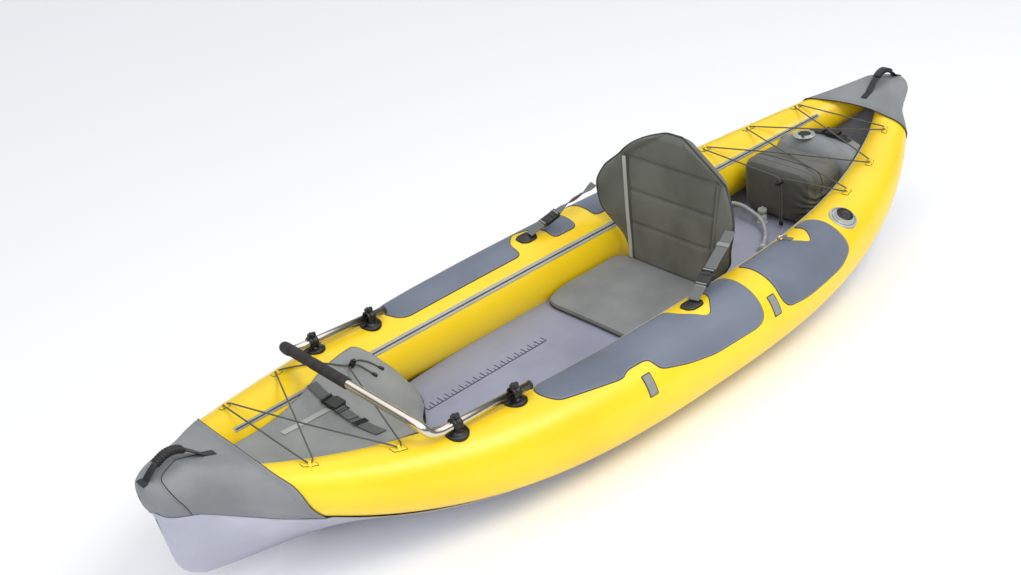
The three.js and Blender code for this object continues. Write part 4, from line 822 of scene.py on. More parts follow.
# Dark piping down the stem and along the keel line
def makeKeelPiping(end):
    xs = np.linspace(bottom["pipeStart"], bottom["end"] - 0.001, 120)
    path = evenly(np.stack([end * xs, 0 * xs, keelLevel(xs) + bottom["pipeRadius"] / 3], axis=1), 150)
    piece = addRod(f"{'bow' if end > 0 else 'stern'}KeelPiping", path, bottom["pipeRadius"], "piping", 10)
    return place(piece)


for end in (1, -1):
    makeKeelPiping(end)
print("bottom skin welded")


# Inflated floor between the tubes
floorPanel = {
    "top": 0.106,
    "halfLength": 1.08,
    "halfWidth": 0.245,
    "endHalfWidth": 0.095,
    "rounding": 0.016,
    "stations": 150,
    "cell": 0.0008,
    "clearance": 0.006,
}


def makeFloorPanel():
    f = floorPanel
    rows = []
    for x in np.linspace(-f["halfLength"], f["halfLength"], f["stations"]):
        share = abs(x) / f["halfLength"]
        half = f["halfWidth"] - (f["halfWidth"] - f["endHalfWidth"]) * share ** hull["spreadPower"]
        _, arc, wall = skinLine(x, hull["skinLift"])
        skin = np.concatenate([arc[-1:], wall])[::-1]
        low = float(np.interp(half, skin[:, 0], skin[:, 1])) + f["clearance"]
        keel = skin[0] + (0, f["clearance"])
        drop = f["rounding"] * clamp((share - 0.985) / 0.015, 0, 1) ** 2
        t = np.linspace(-1, 1, 61)
        top = np.column_stack([np.full(61, x), t * (half - f["rounding"]), np.full(61, f["top"] - drop)])
        top[:, 2] -= f["cell"] * (1 - np.cos(t * 2 * math.pi)) * 0.5
        turns = np.linspace(0, math.pi / 2, 8)[1:]
        curve = [(half - f["rounding"] + f["rounding"] * math.sin(a),
                  f["top"] - drop - f["rounding"] + f["rounding"] * math.cos(a)) for a in turns]
        wall = curve + [(half - 0.001, min(low + 0.004, f["top"] - f["rounding"] - 0.002))]
        wall.append((keel[0], min(keel[1], wall[-1][1] - 0.001)))
        near = [(x, y, z) for y, z in wall]
        far = [(x, -y, z) for y, z in wall][::-1]
        rows.append(np.concatenate([top, near, far]))
    piece = addGrid("floorPanel", rows, "floor", rolled=True, ends=True)
    return place(orient(piece), "floor_panel")


makeFloorPanel()
print("floor inflated")


# End covers: edges in side view as share of the half length and of the tips' height
covers = {
    "bowEdge": [[0.84, 1.5], [0.832, 1.04], [0.8135, 0.912], [0.799, 0.731], [0.77, 0.55]],
    "sternEdge": [[0.805, 1.5], [0.81, 1.04], [0.822, 0.912], [0.834, 0.83], [0.8358, 0.6335]],
    "mouth": (0.034, 0.17),
    "rows": 110,
    "across": 90,
    "lift": 0.004,
    "thickness": 0.0022,
    "wrinkle": 0.0016,
    "wrinkleWaves": 34.0,
    "middle": (1.3, 0, 0.3),
    "hemRows": (3, 5),
    "noseWelt": [(1.298, 91), (1.345, 90), (1.385, 87), (1.412, 80), (1.427, 68), (1.428, 52), (1.418, 34),
                 (1.402, 16), (1.39, 1)],
}


# Half section of a cover at x as even points from the crest to the lip
def coverLine(x, count):
    top, arc, wall = skinLine(x, covers["lift"])
    line = np.concatenate([top, arc, wall])
    level = lipLevel(x)
    turn = int(np.argmax(line[:, 0]))
    for i in range(max(turn - 6, 1), len(line)):
        if line[i, 1] < level <= line[i - 1, 1]:
            t = (level - line[i - 1, 1]) / (line[i, 1] - line[i - 1, 1])
            line = np.concatenate([line[:i], [line[i - 1] + (line[i] - line[i - 1]) * t]])
            break
    return evenly(line, count)


# Where a cover begins in each of its columns, with the skin's place at any x
def coverSurface(edge):
    stations = np.linspace(1.06, hull["half"], 260)
    lines = np.array([coverLine(x, covers["across"]) for x in stations])
    edge = [[z, x] for x, z in edge[::-1]]

    def at(x, j):
        return np.array([np.interp(x, stations, lines[:, j, k]) for k in (0, 1)])

    starts = []
    for j in range(covers["across"]):
        x = 0.81 * hull["half"]
        for _ in range(30):
            z = at(x, j)[1]
            x = 0.5 * x + 0.5 * hull["half"] * float(smooth(edge, z / tipHeight))
        starts.append(x)
    return np.array(starts), at


def makeCover(end, name, edge):
    starts, at = coverSurface(edge)
    if end < 0:
        depth, halfWidth = covers["mouth"]
        edge = starts.copy()
        for j in range(covers["across"]):
            for _ in range(30):
                y = at(starts[j], j)[0]
                back = edge[j] + depth * (1 - clamp(y / halfWidth, 0, 1) ** 2) ** 2
                starts[j] = 0.5 * starts[j] + 0.5 * back
    t = np.linspace(0, 1, covers["rows"]) ** 0.9
    rows = []
    for s in t:
        xs = starts + (hull["half"] - 0.0004 - starts) * s
        half = np.array([[x, *at(x, j)] for j, x in enumerate(xs)])
        rows.append(np.concatenate([half[::-1], half[1:] * (1, -1, 1)]))
    rows = roundedEnd(np.array(rows))
    outward = rows - covers["middle"]
    outward[..., 0] = 0
    outward /= np.linalg.norm(outward, axis=2)[..., None] + 1e-9
    fade = stepUp(t / 0.1)[:, None] * stepUp((1 - t) / 0.25)[:, None]
    wrinkles = ripple(rows, covers["wrinkleWaves"], 1.0 + end) * covers["wrinkle"] * fade
    rows = rows + outward * wrinkles[..., None]
    rows = rows * (end, 1, 1)
    piece = addGrid(f"{name}Cover", rows, "cover", flip=end < 0)
    place(thicken(piece, covers["thickness"]), f"{name}_cover")
    return rows


bowRows = makeCover(1, "bow", covers["bowEdge"])
sternRows = makeCover(-1, "stern", covers["sternEdge"])
print("end covers sewn")


# Sheets welded on the tubes: outline in shares of the half length and degrees from the tube's top
patches = {
    "front": [
        [0.34, -30], [0.363, -20], [0.375, 2], [0.359, 24], [0.302, 30], [0.226, 38], [0.213, 31],
        [0.164, 31], [0.158, 40], [0.151, 51], [0.09, 63], [0.024, 71], [-0.1, 73], [-0.121, 65],
        [-0.126, 42], [-0.126, -30], [-0.056, -30], [-0.056, -4], [-0.0115, 27], [0.033, -4], [0.033, -30],
        [0.17, -30],
    ],
    "rear": [
        [-0.178, -28], [-0.178, 40], [-0.176, 60], [-0.19, 74], [-0.25, 80], [-0.375, 80],
        [-0.412, 70], [-0.418, 58], [-0.414, 30], [-0.41, 0], [-0.4, -30], [-0.3665, -30],
        [-0.3665, -6], [-0.338, 21], [-0.3095, -6], [-0.3095, -30],
    ],
    "strapShare": -0.0115,
    "strapAngle": -5,
    "lift": 0.0002,
    "thickness": 0.0021,
    "backing": 0.0012,
    "rim": 0.0014,
    "cell": 0.012,
    "cornerReach": 0.024,
}


def roundCorners(points, reach):
    points = np.asarray(points, float)
    made = []
    for before, corner, after in zip(np.roll(points, 1, 0), points, np.roll(points, -1, 0)):
        a, b = before - corner, after - corner
        la, lb = np.linalg.norm(a), np.linalg.norm(b)
        start = corner + a / la * min(reach, la * 0.48)
        end = corner + b / lb * min(reach, lb * 0.48)
        made.append(bend(start, corner, end, 7))
    return np.concatenate(made)


def closedEvenly(points, spacing):
    points = np.concatenate([points, points[:1]])
    run = np.linalg.norm(np.diff(points, axis=0), axis=1).sum()
    return evenly(points, max(int(run / spacing), 12) + 1)[:-1]


def insetLoop(loop, distance):
    ahead = np.roll(loop, -1, 0) - np.roll(loop, 1, 0)
    normal = unit(np.stack([-ahead[:, 1], ahead[:, 0]], axis=1))
    area = np.sum(loop[:, 0] * np.roll(loop[:, 1], -1) - loop[:, 1] * np.roll(loop[:, 0], -1))
    return loop + normal * distance * np.sign(area)


def insideLoop(points, loop):
    x, y = points[:, 0][:, None], points[:, 1][:, None]
    ax, ay = loop[:, 0][None], loop[:, 1][None]
    bx, by = np.roll(loop[:, 0], -1)[None], np.roll(loop[:, 1], -1)[None]
    crosses = ((ay > y) != (by > y)) & (x < (bx - ax) * (y - ay) / (by - ay + 1e-15) + ax)
    return crosses.sum(axis=1) % 2 == 1


# Thin sheet welded on a tube, given its outline in flat coordinates in metres
def addSheet(name, outline, side, lift, paint, thickness, rim, cell, backing, spacing=0.006):
    loop = closedEvenly(np.asarray(outline, float), spacing)
    low, high = loop.min(axis=0), loop.max(axis=0)
    grid = np.meshgrid(np.arange(low[0], high[0], cell), np.arange(low[1], high[1], cell))
    grid = np.stack(grid, -1).reshape(-1, 2)
    keep = insideLoop(grid, insetLoop(loop, rim + cell * 0.4))
    points = np.concatenate([loop, insetLoop(loop, rim), grid[keep]])
    n = len(loop)
    edges = [(start + i, start + (i + 1) % n) for start in (0, n) for i in range(n)]
    flat, _, faces, origins, *_ = delaunay_2d_cdt([Vector(p) for p in points], edges, [], 0, 1e-7)
    flat = np.array([tuple(p) for p in flat])
    level = np.array([0.0 if o and min(o) < n else 1.0 for o in origins])
    middles = np.array([flat[list(f)].mean(axis=0) for f in faces])
    kept = [list(f) for f, fine in zip(faces, insideLoop(middles, loop)) if fine]
    used = sorted({i for f in kept for i in f})
    index = {k: i for i, k in enumerate(used)}
    space = onFlat(flat[used], lift + level[used] * thickness, side)
    kept = [[index[i] for i in f] for f in kept]
    corners = [tuple(flat[used][i]) for f in kept for i in f]
    piece = addMesh(name, space, kept, paint, corners)
    away = [np.linalg.norm(loop - p, axis=1).min() for p in flat[used]]
    piece.data.attributes.new("edgeDistance", "FLOAT", "POINT").data.foreach_set("value", away)
    return thicken(facing(piece, side), backing)


arcScale = math.radians(1) * hull["radius"]  # flat width of one degree round a tube


def onFlat(flat, lift, side):
    return onTube(flat[:, 0], flat[:, 1] / arcScale, lift, side)


# Open sheets on the hull: every face looks away from the tube's middle
def facing(piece, side):
    build = bmesh.new()
    build.from_mesh(piece.data)
    bmesh.ops.recalc_face_normals(build, faces=build.faces)
    total = 0.0
    for face in build.faces:
        middle = face.calc_center_median()
        y, z, _, _ = section(middle.x)
        outward = Vector((0, middle.y - side * float(y), middle.z - float(z)))
        total += face.normal.dot(outward) * face.calc_area()
    if total < 0:
        bmesh.ops.reverse_faces(build, faces=build.faces)
    build.to_mesh(piece.data)
    build.free()
    return piece


strapPlace = patches["strapShare"] * hull["half"]
for side in (port, starboard):
    for which in ("front", "rear"):
        p = patches
        outline = roundCorners(np.array(p[which]) * (hull["half"], arcScale), p["cornerReach"])
        name = f"{sideNames[side]}{which.capitalize()}Patch"
        piece = addSheet(name, outline, side, p["lift"], "patch", p["thickness"], p["rim"], p["cell"],
                         p["backing"])
        place(piece, f"wear_patch_{which}_{sideNames[side]}")
print("wear patches welded")


# Tapes over the tubes' zips
strips = {"angle": -52, "half": 5.2, "reach": 0.85 * hull["tubeHalf"], "lift": 0.0018, "stations": 200}


def makeStrip(side):
    xs = np.linspace(-strips["reach"], strips["reach"], strips["stations"])
    across = np.array([-1, -0.93, -0.8, -0.3, -0.14, 0, 0.14, 0.3, 0.8, 0.93, 1])
    lifts = np.array([0, 0.7, 1, 1, 0.85, 0.6, 0.85, 1, 1, 0.7, 0]) * strips["lift"] + 0.0002
    rows = onTube(xs[:, None], strips["angle"] + across[None] * strips["half"], lifts[None], side)
    name = sideNames[side]
    piece = facing(addGrid(f"{name}ZipTape", rows, "strip"), side)
    place(thicken(piece, 0.0012), f"seam_strip_{name}")
    zipRows = onTube(xs[:, None] * 0.997, strips["angle"] + np.array([-1, -0.6, 0, 0.6, 1])[None] * 1.05,
                     np.array([0.0006, 0.0016, 0.0019, 0.0016, 0.0006])[None], side)
    place(thicken(facing(addGrid(f"{name}Zip", zipRows, "piping"), side), 0.001))


bothSides(makeStrip)


# Paddle keepers: short webbing loops on the outer face of the tubes
keepers = {"shares": {"front": 0.186, "rear": -0.156}, "width": 0.028, "angles": (46, 74), "lift": 0.0026}


def makeKeeper(side, end, share):
    k = keepers
    ys = np.linspace(-1, 1, 13)
    angles = np.linspace(*k["angles"], 22)
    edge = 1 - np.abs(np.linspace(-1, 1, 22)) ** 10
    puff = edge[:, None] * (1 - np.abs(ys) ** 8)[None]
    x = share * hull["half"] + ys * k["width"] / 2
    rows = onTube(x[None], angles[:, None], 0.0003 + k["lift"] * puff ** 0.5, side)
    name = f"{sideNames[side]}{end.capitalize()}Keeper"
    piece = facing(addGrid(name, rows, "lightWebbing"), side)
    place(thicken(piece, 0.0015), f"paddle_keeper_{end}_{sideNames[side]}")
    border = np.concatenate([rows[0], rows[1:-1, -1], rows[-1][::-1], rows[1:-1, 0][::-1]])
    addLoopRod(name + "Edge", closedEvenly(border, 0.003), 0.0015, "piping", "hull")


for side in (port, starboard):
    for end, share in keepers["shares"].items():
        makeKeeper(side, end, share)
print("tapes and keepers welded")


# Seat cushion on the floor
cushion = {
    "rear": 0.026 * hull["half"] - 0.33,
    "length": 0.33,
    "halfWidth": 0.2155,
    "bottom": 0.1063,
    "top": 0.1503,
    "crown": 0.006,
    "pipe": 0.0026,
    "pull": 0.006,
    "squareness": 0.2,
    "taper": (0.5, 0.11),
}


def makeCushion():
    c = cushion
    middleX = c["rear"] + c["length"] / 2
    size = np.array([c["length"] / 2, c["halfWidth"]])
    turns = circle(384)
    outline = np.stack([np.cos(turns), np.sin(turns)], axis=1)
    outline = np.sign(outline) * np.abs(outline) ** c["squareness"]
    outline = closedEvenly(outline * size, 0.0045) / size
    sides = 1 - (1 - np.min(np.abs(outline), axis=1) ** 2) * c["pull"] / 0.2
    outline *= sides[:, None]
    middle = (c["bottom"] + c["top"]) / 2
    rows = []
    for level, shrink in seatProfile(c):
        ring = outline * shrink
        crown = c["crown"] * (1 - np.abs(ring[:, 0]) ** 4) * (1 - np.abs(ring[:, 1]) ** 4)
        z = level + (crown if level > middle else 0 * crown)
        wave = ripple(np.column_stack([ring * size, z]), 30.0, 2.0) * 0.0009
        z = z + (wave if level > middle else 0)
        x, y = (ring * size + (middleX, 0)).T
        rows.append(np.column_stack([x, y, seatLevel(x, z)]))
    piece = orient(addGrid("seatCushion", np.array(rows), "seat", rolled=True, ends=True))
    place(piece, "seat_base")
    for name, level in (("seatLowerPiping", c["bottom"] + 0.008),
                        ("seatUpperPiping", c["top"] - c["crown"] - 0.0032)):
        ring = outline * (1.0 if level < middle else 0.992)
        x, y = (ring * size + (middleX, 0)).T
        path = np.column_stack([x, y, seatLevel(x, np.full(len(ring), level))])
        addLoopRod(name, path, c["pipe"], "piping" if level < middle else "seat", "hull")


def seatLevel(x, z):
    share, reach = cushion["taper"]
    along = stepUp((cushion["rear"] + cushion["length"] - x) / reach)
    return cushion["bottom"] + (z - cushion["bottom"]) * (share + (1 - share) * along)


def seatProfile(c):
    low, high = c["bottom"], c["top"] - c["crown"]
    shape = [(low, 0.55), (low, 0.9), (low + 0.001, 0.965), (low + 0.005, 0.992), (low + 0.008, 0.998)]
    shape += [(low + 0.014, 1.0), ((low + high) / 2, 0.999), (high - 0.008, 0.996), (high - 0.0032, 0.988)]
    shape += [(high - 0.0012, 0.978), (high, 0.95)]
    return shape + [(high + 0.0002, s) for s in (0.9, 0.82, 0.72, 0.6, 0.48, 0.36, 0.24, 0.12, 0.03)]


makeCushion()


# Backrest: padded panel between two wings
backrest = {
    "front": cushion["rear"] - 0.0003 + 0.0045,
    "bottom": 0.132,
    "height": 0.442,
    "half": 0.27,
    "lean": 0.04,
    "wing": 0.064,
    "widths": [
        [0, 0.6], [0.05, 0.64], [0.15, 0.74], [0.26, 0.86], [0.42, 0.96], [0.56, 1], [0.68, 0.93],
        [0.76, 0.8], [0.83, 0.68], [0.91, 0.5], [0.97, 0.3], [1, 0.14],
    ],
    "flats": [[0, 0.56], [0.78, 0.66], [1, 0.1]],
    "wingStart": 0.12,
    "wingFull": 0.42,
    "seams": (0.3, 0.54, 0.78),
    "panelHalf": (0.151, 0.178),
    "stripOffset": 0.0075,
    "seamDepth": 0.0075,
    "edgeThickness": 0.011,
    "thickness": 0.034,
    "rows": 150,
    "across": 121,
    "pipe": 0.0032,
}


def backFace(y, share):
    b = backrest
    half = b["half"] * smooth(b["widths"], share)
    flat = np.minimum(b["half"] * straight(b["flats"], share), half)
    rise = stepUp((share - b["wingStart"]) / (b["wingFull"] - b["wingStart"]))
    out = np.maximum(np.abs(y) - flat, 0) / (b["half"] * (1 - b["flats"][0][1]))
    return b["front"] - b["lean"] * share + b["wing"] * rise * out


# Half width between the backrest's two upright seams
def panelSide(share):
    low, high = backrest["panelHalf"]
    return low + (high - low) * np.minimum(share / backrest["seams"][2], 1)


def backSeams(y, share):
    b = backrest
    side = panelSide(share)
    upright = np.exp(-((np.abs(y) - side) / 0.0045) ** 2) * (share < 0.8)
    inside = stepUp((side - np.abs(y)) / 0.004 + 1)
    level = sum(np.exp(-((share - s) * b["height"] / 0.0045) ** 2) for s in b["seams"])
    return np.minimum(upright + level * inside, 1)


def backPuff(y, share):
    b = backrest
    stops = np.array([0, *b["seams"], 1.02])
    k = clamp(np.searchsorted(stops, share, side="right") - 1, 0, 3)
    t = (share - stops[k]) / (stops[k + 1] - stops[k])
    side = panelSide(share)
    across = clamp(1 - (np.abs(y) / side) ** 6, 0, 1)
    return np.sqrt(clamp(4 * t * (1 - t), 0, 1)) * across


def makeBackrest():
    b = backrest
    shares = 0.5 - 0.5 * np.cos(np.linspace(0, 1, b["rows"]) * math.pi) * 0.9999
    shares = 0.35 * shares + 0.65 * np.linspace(0.00005, 0.99995, b["rows"])
    u = np.linspace(-1, 1, b["across"])
    u = np.sign(u) * (1 - (1 - np.abs(u)) ** 1.35)
    rows, rim = [], []
    for share in shares:
        half = b["half"] * float(smooth(b["widths"], share))
        end = min(share, 1 - share) * b["height"]
        close = math.sqrt(clamp(1 - (1 - min(end / 0.02, 1)) ** 2, 0.0004, 1))
        y = u * half
        edge = np.abs(u) ** 10
        fade = (1 - edge) * close
        full = b["edgeThickness"] * 0.5 + (b["thickness"] - b["edgeThickness"]) * 0.5 * fade
        centre = backFace(y, share) - b["thickness"] / 2
        seam = backSeams(y, share) * b["seamDepth"] * fade
        puff = backPuff(y, share) * 0.0045 * fade
        side = 1 - (np.abs(u) ** 24)
        wave = ripple(np.column_stack([y, np.full_like(y, share), y * 0]), 26.0, 4.0) * 0.0008 * fade
        front = centre + full * np.sqrt(side) * close - seam + puff + wave
        back = centre - full * np.sqrt(side) * close - 0.002 * fade * (1 - backSeams(y, share))
        z = np.full_like(y, b["bottom"] + b["height"] * share)
        rows.append(np.concatenate([np.column_stack([front, y, z]), np.column_stack([back, y, z])[-2:0:-1]]))
        rim.append((centre[0], y[0], z[0], centre[-1], y[-1]))
    piece = orient(addGrid("backrest", np.array(rows), "pad", rolled=True, ends=True))
    place(piece, "seat_back", body="seat_back")
    rim = np.array(rim)
    left = rim[:, :3]
    right = np.column_stack([rim[:, 3], rim[:, 4], rim[:, 2]])
    top = [np.array([backFace(y, 1.0) - b["thickness"] / 2, y, b["bottom"] + b["height"]])
           for y in np.linspace(left[-1][1], right[-1][1], 9)[1:-1]]
    foot = [np.array([backFace(y, 0.0) - b["thickness"] / 2, y, b["bottom"]])
            for y in np.linspace(right[0][1], left[0][1], 40)[1:-1]]
    loop = closedEvenly(np.concatenate([left, top, right[::-1], foot]), 0.006)
    addLoopRod("backrestPiping", loop, b["pipe"], "piping", "seat_back")
    levels = np.linspace(0.03, 0.775, 70)
    # Bands beside the upright seams: the starboard one is painted in the light tape colour as a painted
    # highlight on a lit fold; the port one keeps the pad's colour
    for side, paint in ((port, "pad"), (starboard, "strip")):
        offset = panelSide(levels) + b["stripOffset"]
        face = backFace(offset, levels) + 0.0012
        path = np.column_stack([face, side * offset, b["bottom"] + b["height"] * levels])
        ups = (1, -side * 0.25, 0.05)
        band = bandBetween(f"{sideNames[side]}BackStrip", path, ups, 0.012, 0.0036, paint)
        place(band, body="seat_back")


makeBackrest()
print("seat padded")


# Foot brace: inflated block between the tubes, with its crest and its edges along the hull
brace = {
    "crest": [
        [0.402, 0.3], [0.41, 0.345], [0.44, 0.425], [0.485, 0.515], [0.53, 0.6], [0.572, 0.66],
        [0.62, 0.69], [0.69, 0.72], [0.76, 0.755], [0.835, 0.79],
    ],
    "edges": [-108, -96, -66, -27, -30, -37, -50, -64, -72, -76],
    "slant": (0.15, -0.15, 0.26, 0.24),
    "lift": 0.0054,
    "floor": 0.1063,
    "rows": 120,
    "wrinkle": 0.0022,
    "tape": ((0.892, 1.06), (-0.46, -0.56)),
    "tapeWidth": 0.017,
}


def braceTop(x, t):
    places = [row[0] for row in brace["crest"]]
    share = np.asarray(x, float) / hull["half"]
    crest = tipHeight * smooth(brace["crest"], share)
    angle = smooth(list(zip(places, brace["edges"])), share)
    rim = onTube(x, angle, brace["lift"])
    t = np.asarray(t, float)
    z = crest + (rim[..., 2] - crest) * np.abs(t) ** 2
    return np.stack(np.broadcast_arrays(x, t * rim[..., 1], z), axis=-1)


# Block between the tubes under a crowned top, with its ends rounded
def addBlock(name, xs, topAt, edgeAt, floor, paint, wrinkle, endReach, wave, slant=None):
    made = []
    t = np.linspace(-1, 1, 81)
    for x in xs:
        top = topAt(x, t)
        angle = float(edgeAt(x))
        down = onTube(x, np.linspace(angle, min(angle, -96), 12)[1:], 0.0024)
        down = down[down[:, 2] > floor + 0.004]
        foot = np.array([[x, down[-1][1] - 0.004 if len(down) else top[-1][1], floor]])
        side = evenly(np.concatenate([top[-1:], down, foot]), 14)[1:]
        under = np.linspace(side[-1], side[-1] * (1, -1, 1), 12)[1:-1]
        made.append(np.concatenate([top, side, under, (side * (1, -1, 1))[::-1]]))
    made = np.array(made)
    along = np.abs(made[:, 0, 0] - made[0, 0, 0])
    far = np.abs(made[:, 0, 0] - made[-1, 0, 0])
    fade = (stepUp(along / endReach) * stepUp(far / endReach))[:, None]
    upper = np.zeros(made.shape[1])
    upper[:81] = (1 - np.abs(t) ** 8)
    made[..., 2] += ripple(made, wave, 7.0) * wrinkle * fade * upper
    made[..., 2] = np.maximum(made[..., 2], floor)
    if slant:
        most, start, span, reach = slant
        before = onTube(made[..., 0], -90)[..., 1]
        near = clamp(1 - (made[..., 0] - xs[0]) / reach, 0, 1)
        made[..., 0] += most * stepUp((made[..., 1] - start) / span) * near
        made[..., 1] *= onTube(made[..., 0], -90)[..., 1] / before
    for row in made:
        _, arc, wall = skinLine(float(row[:, 0].mean()), hull["skinLift"])
        skin = np.concatenate([arc[-1:], wall])[::-1]
        room = np.interp(row[:, 2], skin[:, 1], skin[:, 0], right=9) - 0.006
        row[:, 1] = clamp(row[:, 1], -room, room)
    return orient(addGrid(name, made, paint, rolled=True, ends=True))


def makeBrace():
    places = [row[0] for row in brace["crest"]]
    ends = np.array([places[0], places[-1]]) * hull["half"]
    xs = np.linspace(ends[0] + 0.0008, ends[1], brace["rows"])
    piece = addBlock("footBrace", xs, braceTop,
                     lambda x: smooth(list(zip(places, brace["edges"])), x / hull["half"]),
                     brace["floor"], "brace", brace["wrinkle"], 0.05, 26.0, brace["slant"])
    place(piece, "foot_brace")


makeBrace()


# Bag behind the seat: rounded box with crowned faces, gathered at its near end
bag = {
    "front": -0.539 * hull["half"],
    "length": 0.178,
    "halfWidth": 0.136,
    "bottom": 0.1063,
    "top": 0.296,
    "corner": 0.036,
    "crown": 0.007,
    "fold": 0.0085,
    "folds": 17.0,
    # depth from the front that takes the darker cloth, painted shade on the front face
    "panel": 0.014,
    "welts": (0.034, 0.062),
    "pipe": 0.0015,
}


def bagPoint(direction):
    b = bag
    half = np.array([b["length"] / 2, b["halfWidth"], (b["top"] - b["bottom"]) / 2])
    core = half - b["corner"] - b["crown"] * 0.6
    reach = direction / np.abs(direction).max(axis=-1, keepdims=True)
    flat = clamp(reach * half * 1.02, -core, core)
    normal = reach * half - flat
    length = np.linalg.norm(normal, axis=-1, keepdims=True)
    point = flat + normal / np.maximum(length, 1e-9) * b["corner"]
    share = point / half
    bulge = (1 - clamp(np.abs(share), 0, 1) ** 4)
    puff = np.stack([bulge[..., 1] * bulge[..., 2], bulge[..., 0] * bulge[..., 2],
                     bulge[..., 0] * bulge[..., 1] * (share[..., 2] > 0)], axis=-1)
    point = point + puff * b["crown"] * np.sign(direction) * (np.abs(reach) > 0.8)
    return point


def makeBag():
    b = bag
    build = bmesh.new()
    bmesh.ops.create_cube(build, size=2.0)
    bmesh.ops.subdivide_edges(build, edges=build.edges, cuts=44, use_grid_fill=True)
    points = np.array([tuple(v.co) for v in build.verts])
    shaped = bagPoint(np.tan(points * math.pi / 4 * 0.999))
    near = stepUp((shaped[:, 1] - 0.055) / 0.075)
    low = stepUp((0.03 - shaped[:, 2]) / 0.08)
    fan = np.sin(np.arctan2(shaped[:, 2] + 0.02, b["halfWidth"] + 0.03 - shaped[:, 1]) * b["folds"])
    shaped *= (1 - 0.045 * near * low)[:, None]
    out = shaped / np.linalg.norm(shaped, axis=1)[:, None]
    shaped = shaped + out * (fan * near * b["fold"] * (0.35 + 0.65 * low))[:, None]
    shaped = shaped + out * (ripple(shaped, 24.0, 5.0) * 0.0022)[:, None]
    middle = np.array([b["front"] - b["length"] / 2, 0, (b["bottom"] + b["top"]) / 2])
    shaped = shaped + middle
    shaped[:, 2] = np.maximum(shaped[:, 2], b["bottom"])
    low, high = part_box("stern_bag")
    shaped = clamp(shaped, np.array(low) - 0.002, np.array(high) + 0.004)
    for vertex, p in zip(build.verts, shaped):
        vertex.co = p
    mesh = bpy.data.meshes.new("gearBag")
    build.to_mesh(mesh)
    build.free()
    layer = mesh.uv_layers.new(name="cloth")
    for face in mesh.polygons:
        axis = int(np.argmax(np.abs(face.normal)))
        keep = [k for k in range(3) if k != axis]
        for corner in face.loop_indices:
            p = mesh.vertices[mesh.loops[corner].vertex_index].co
            layer.data[corner].uv = (p[keep[0]], p[keep[1]])
    mesh.polygons.foreach_set("use_smooth", [True] * len(mesh.polygons))
    mesh.materials.append(paints["bag"])
    mesh.materials.append(paints["bagPanel"])
    # Faces near the front take the darker cloth: painted shade on the face turned away from the light
    for face in mesh.polygons:
        face.material_index = int(face.center.x > b["front"] - b["panel"])
    piece = addObject("gearBag", mesh)
    place(orient(piece), "stern_bag")
    for i, inset in enumerate(b["welts"]):
        start = Vector((b["front"] - inset, 0, middle[2]))
        spots = []
        for angle in np.linspace(-0.5, 1.5, 160) * math.pi:
            hit, spot, _, _ = piece.ray_cast(start, Vector((0, math.cos(angle), math.sin(angle))))
            if hit and spot.z > b["bottom"] + 0.004:
                spots.append(tuple(spot))
        path = evenly(np.array(spots), 150)
        place(addRod(f"bagWelt{i + 1}", path, b["pipe"], "piping" if i else "bag", 8))


makeBag()


# Thwart behind the bag: inflated cross block
thwart = {
    "front": bag["front"] - bag["length"] - 0.003,
    "length": 0.165,
    "top": 0.312,
    "floor": 0.1063,
    "crown": 0.026,
    "edgeAngle": -34,
    "profile": [[0, 0.5], [0.05, 0.76], [0.17, 0.93], [0.33, 1], [0.73, 1], [0.87, 0.93], [0.96, 0.76],
                [1, 0.5]],
    "valveShare": 0.3,
    "valveAcross": -0.056,
}


def thwartRow(x):
    share = (thwart["front"] - x) / thwart["length"]
    rise = float(smooth(thwart["profile"], share))
    crest = 0.106 + rise * (thwart["top"] - 0.106)
    rim = float(onTube(x, thwart["edgeAngle"])[2])
    level = min(rim, crest - thwart["crown"] * rise)
    _, z, _, tall = section(x)
    angle = -math.degrees(math.acos(float(clamp((level - z) / tall, -1, 1))))
    return crest, angle


def thwartTop(x, t):
    crest, angle = thwartRow(x)
    rim = onTube(x, angle, 0.0054)
    t = np.asarray(t, float)
    return np.column_stack([np.full(t.shape, x), t * rim[1], crest + (rim[2] - crest) * t ** 2])


def makeThwart():
    xs = thwart["front"] - thwart["length"] * np.linspace(0, 1, 60)
    piece = addBlock("thwart", xs, thwartTop, lambda x: thwartRow(x)[1], thwart["floor"], "cover", 0.002,
                     0.03, 30.0)
    place(piece, "thwart")


makeThwart()
print("brace, bag and thwart filled")


# Rigid part from its solid: doubles merged, flat faces joined and edges broken
def fromSolid(node, name, paint, bevel, segments=2):
    build = bmesh.new()
    build.from_mesh(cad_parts[node].data)
    bmesh.ops.remove_doubles(build, verts=build.verts, dist=1e-6)
    bmesh.ops.dissolve_limit(build, angle_limit=math.radians(1), verts=build.verts, edges=build.edges)
    for face in build.faces:
        face.smooth = False
    mesh = bpy.data.meshes.new(name)
    build.to_mesh(mesh)
    build.free()
    mesh.materials.append(paints[paint])
    return rounded(addObject(name, mesh), bevel, segments)


# Block with broken edges: plan outline in a frame, raised from one level to another
def addPlate(name, outline, low, high, turn, paint, bevel, segments=2):
    count = len(outline)
    points = [(x, y, low) for x, y in outline] + [(x, y, high) for x, y in outline]
    faces = [list(range(count))[::-1], list(range(count, 2 * count))]
    faces += [[i, (i + 1) % count, count + (i + 1) % count, count + i] for i in range(count)]
    piece = addMesh(name, points, faces, paint, flatShade=True)
    piece.data.transform(turn)
    orient(piece)
    return rounded(piece, bevel, segments)


def boxOutline(length, width):
    a, b = length / 2, width / 2
    return [(-a, -b), (a, -b), (a, b), (-a, b)]


def roundedBox(length, width, reach):
    return roundCorners(boxOutline(length, width), reach)


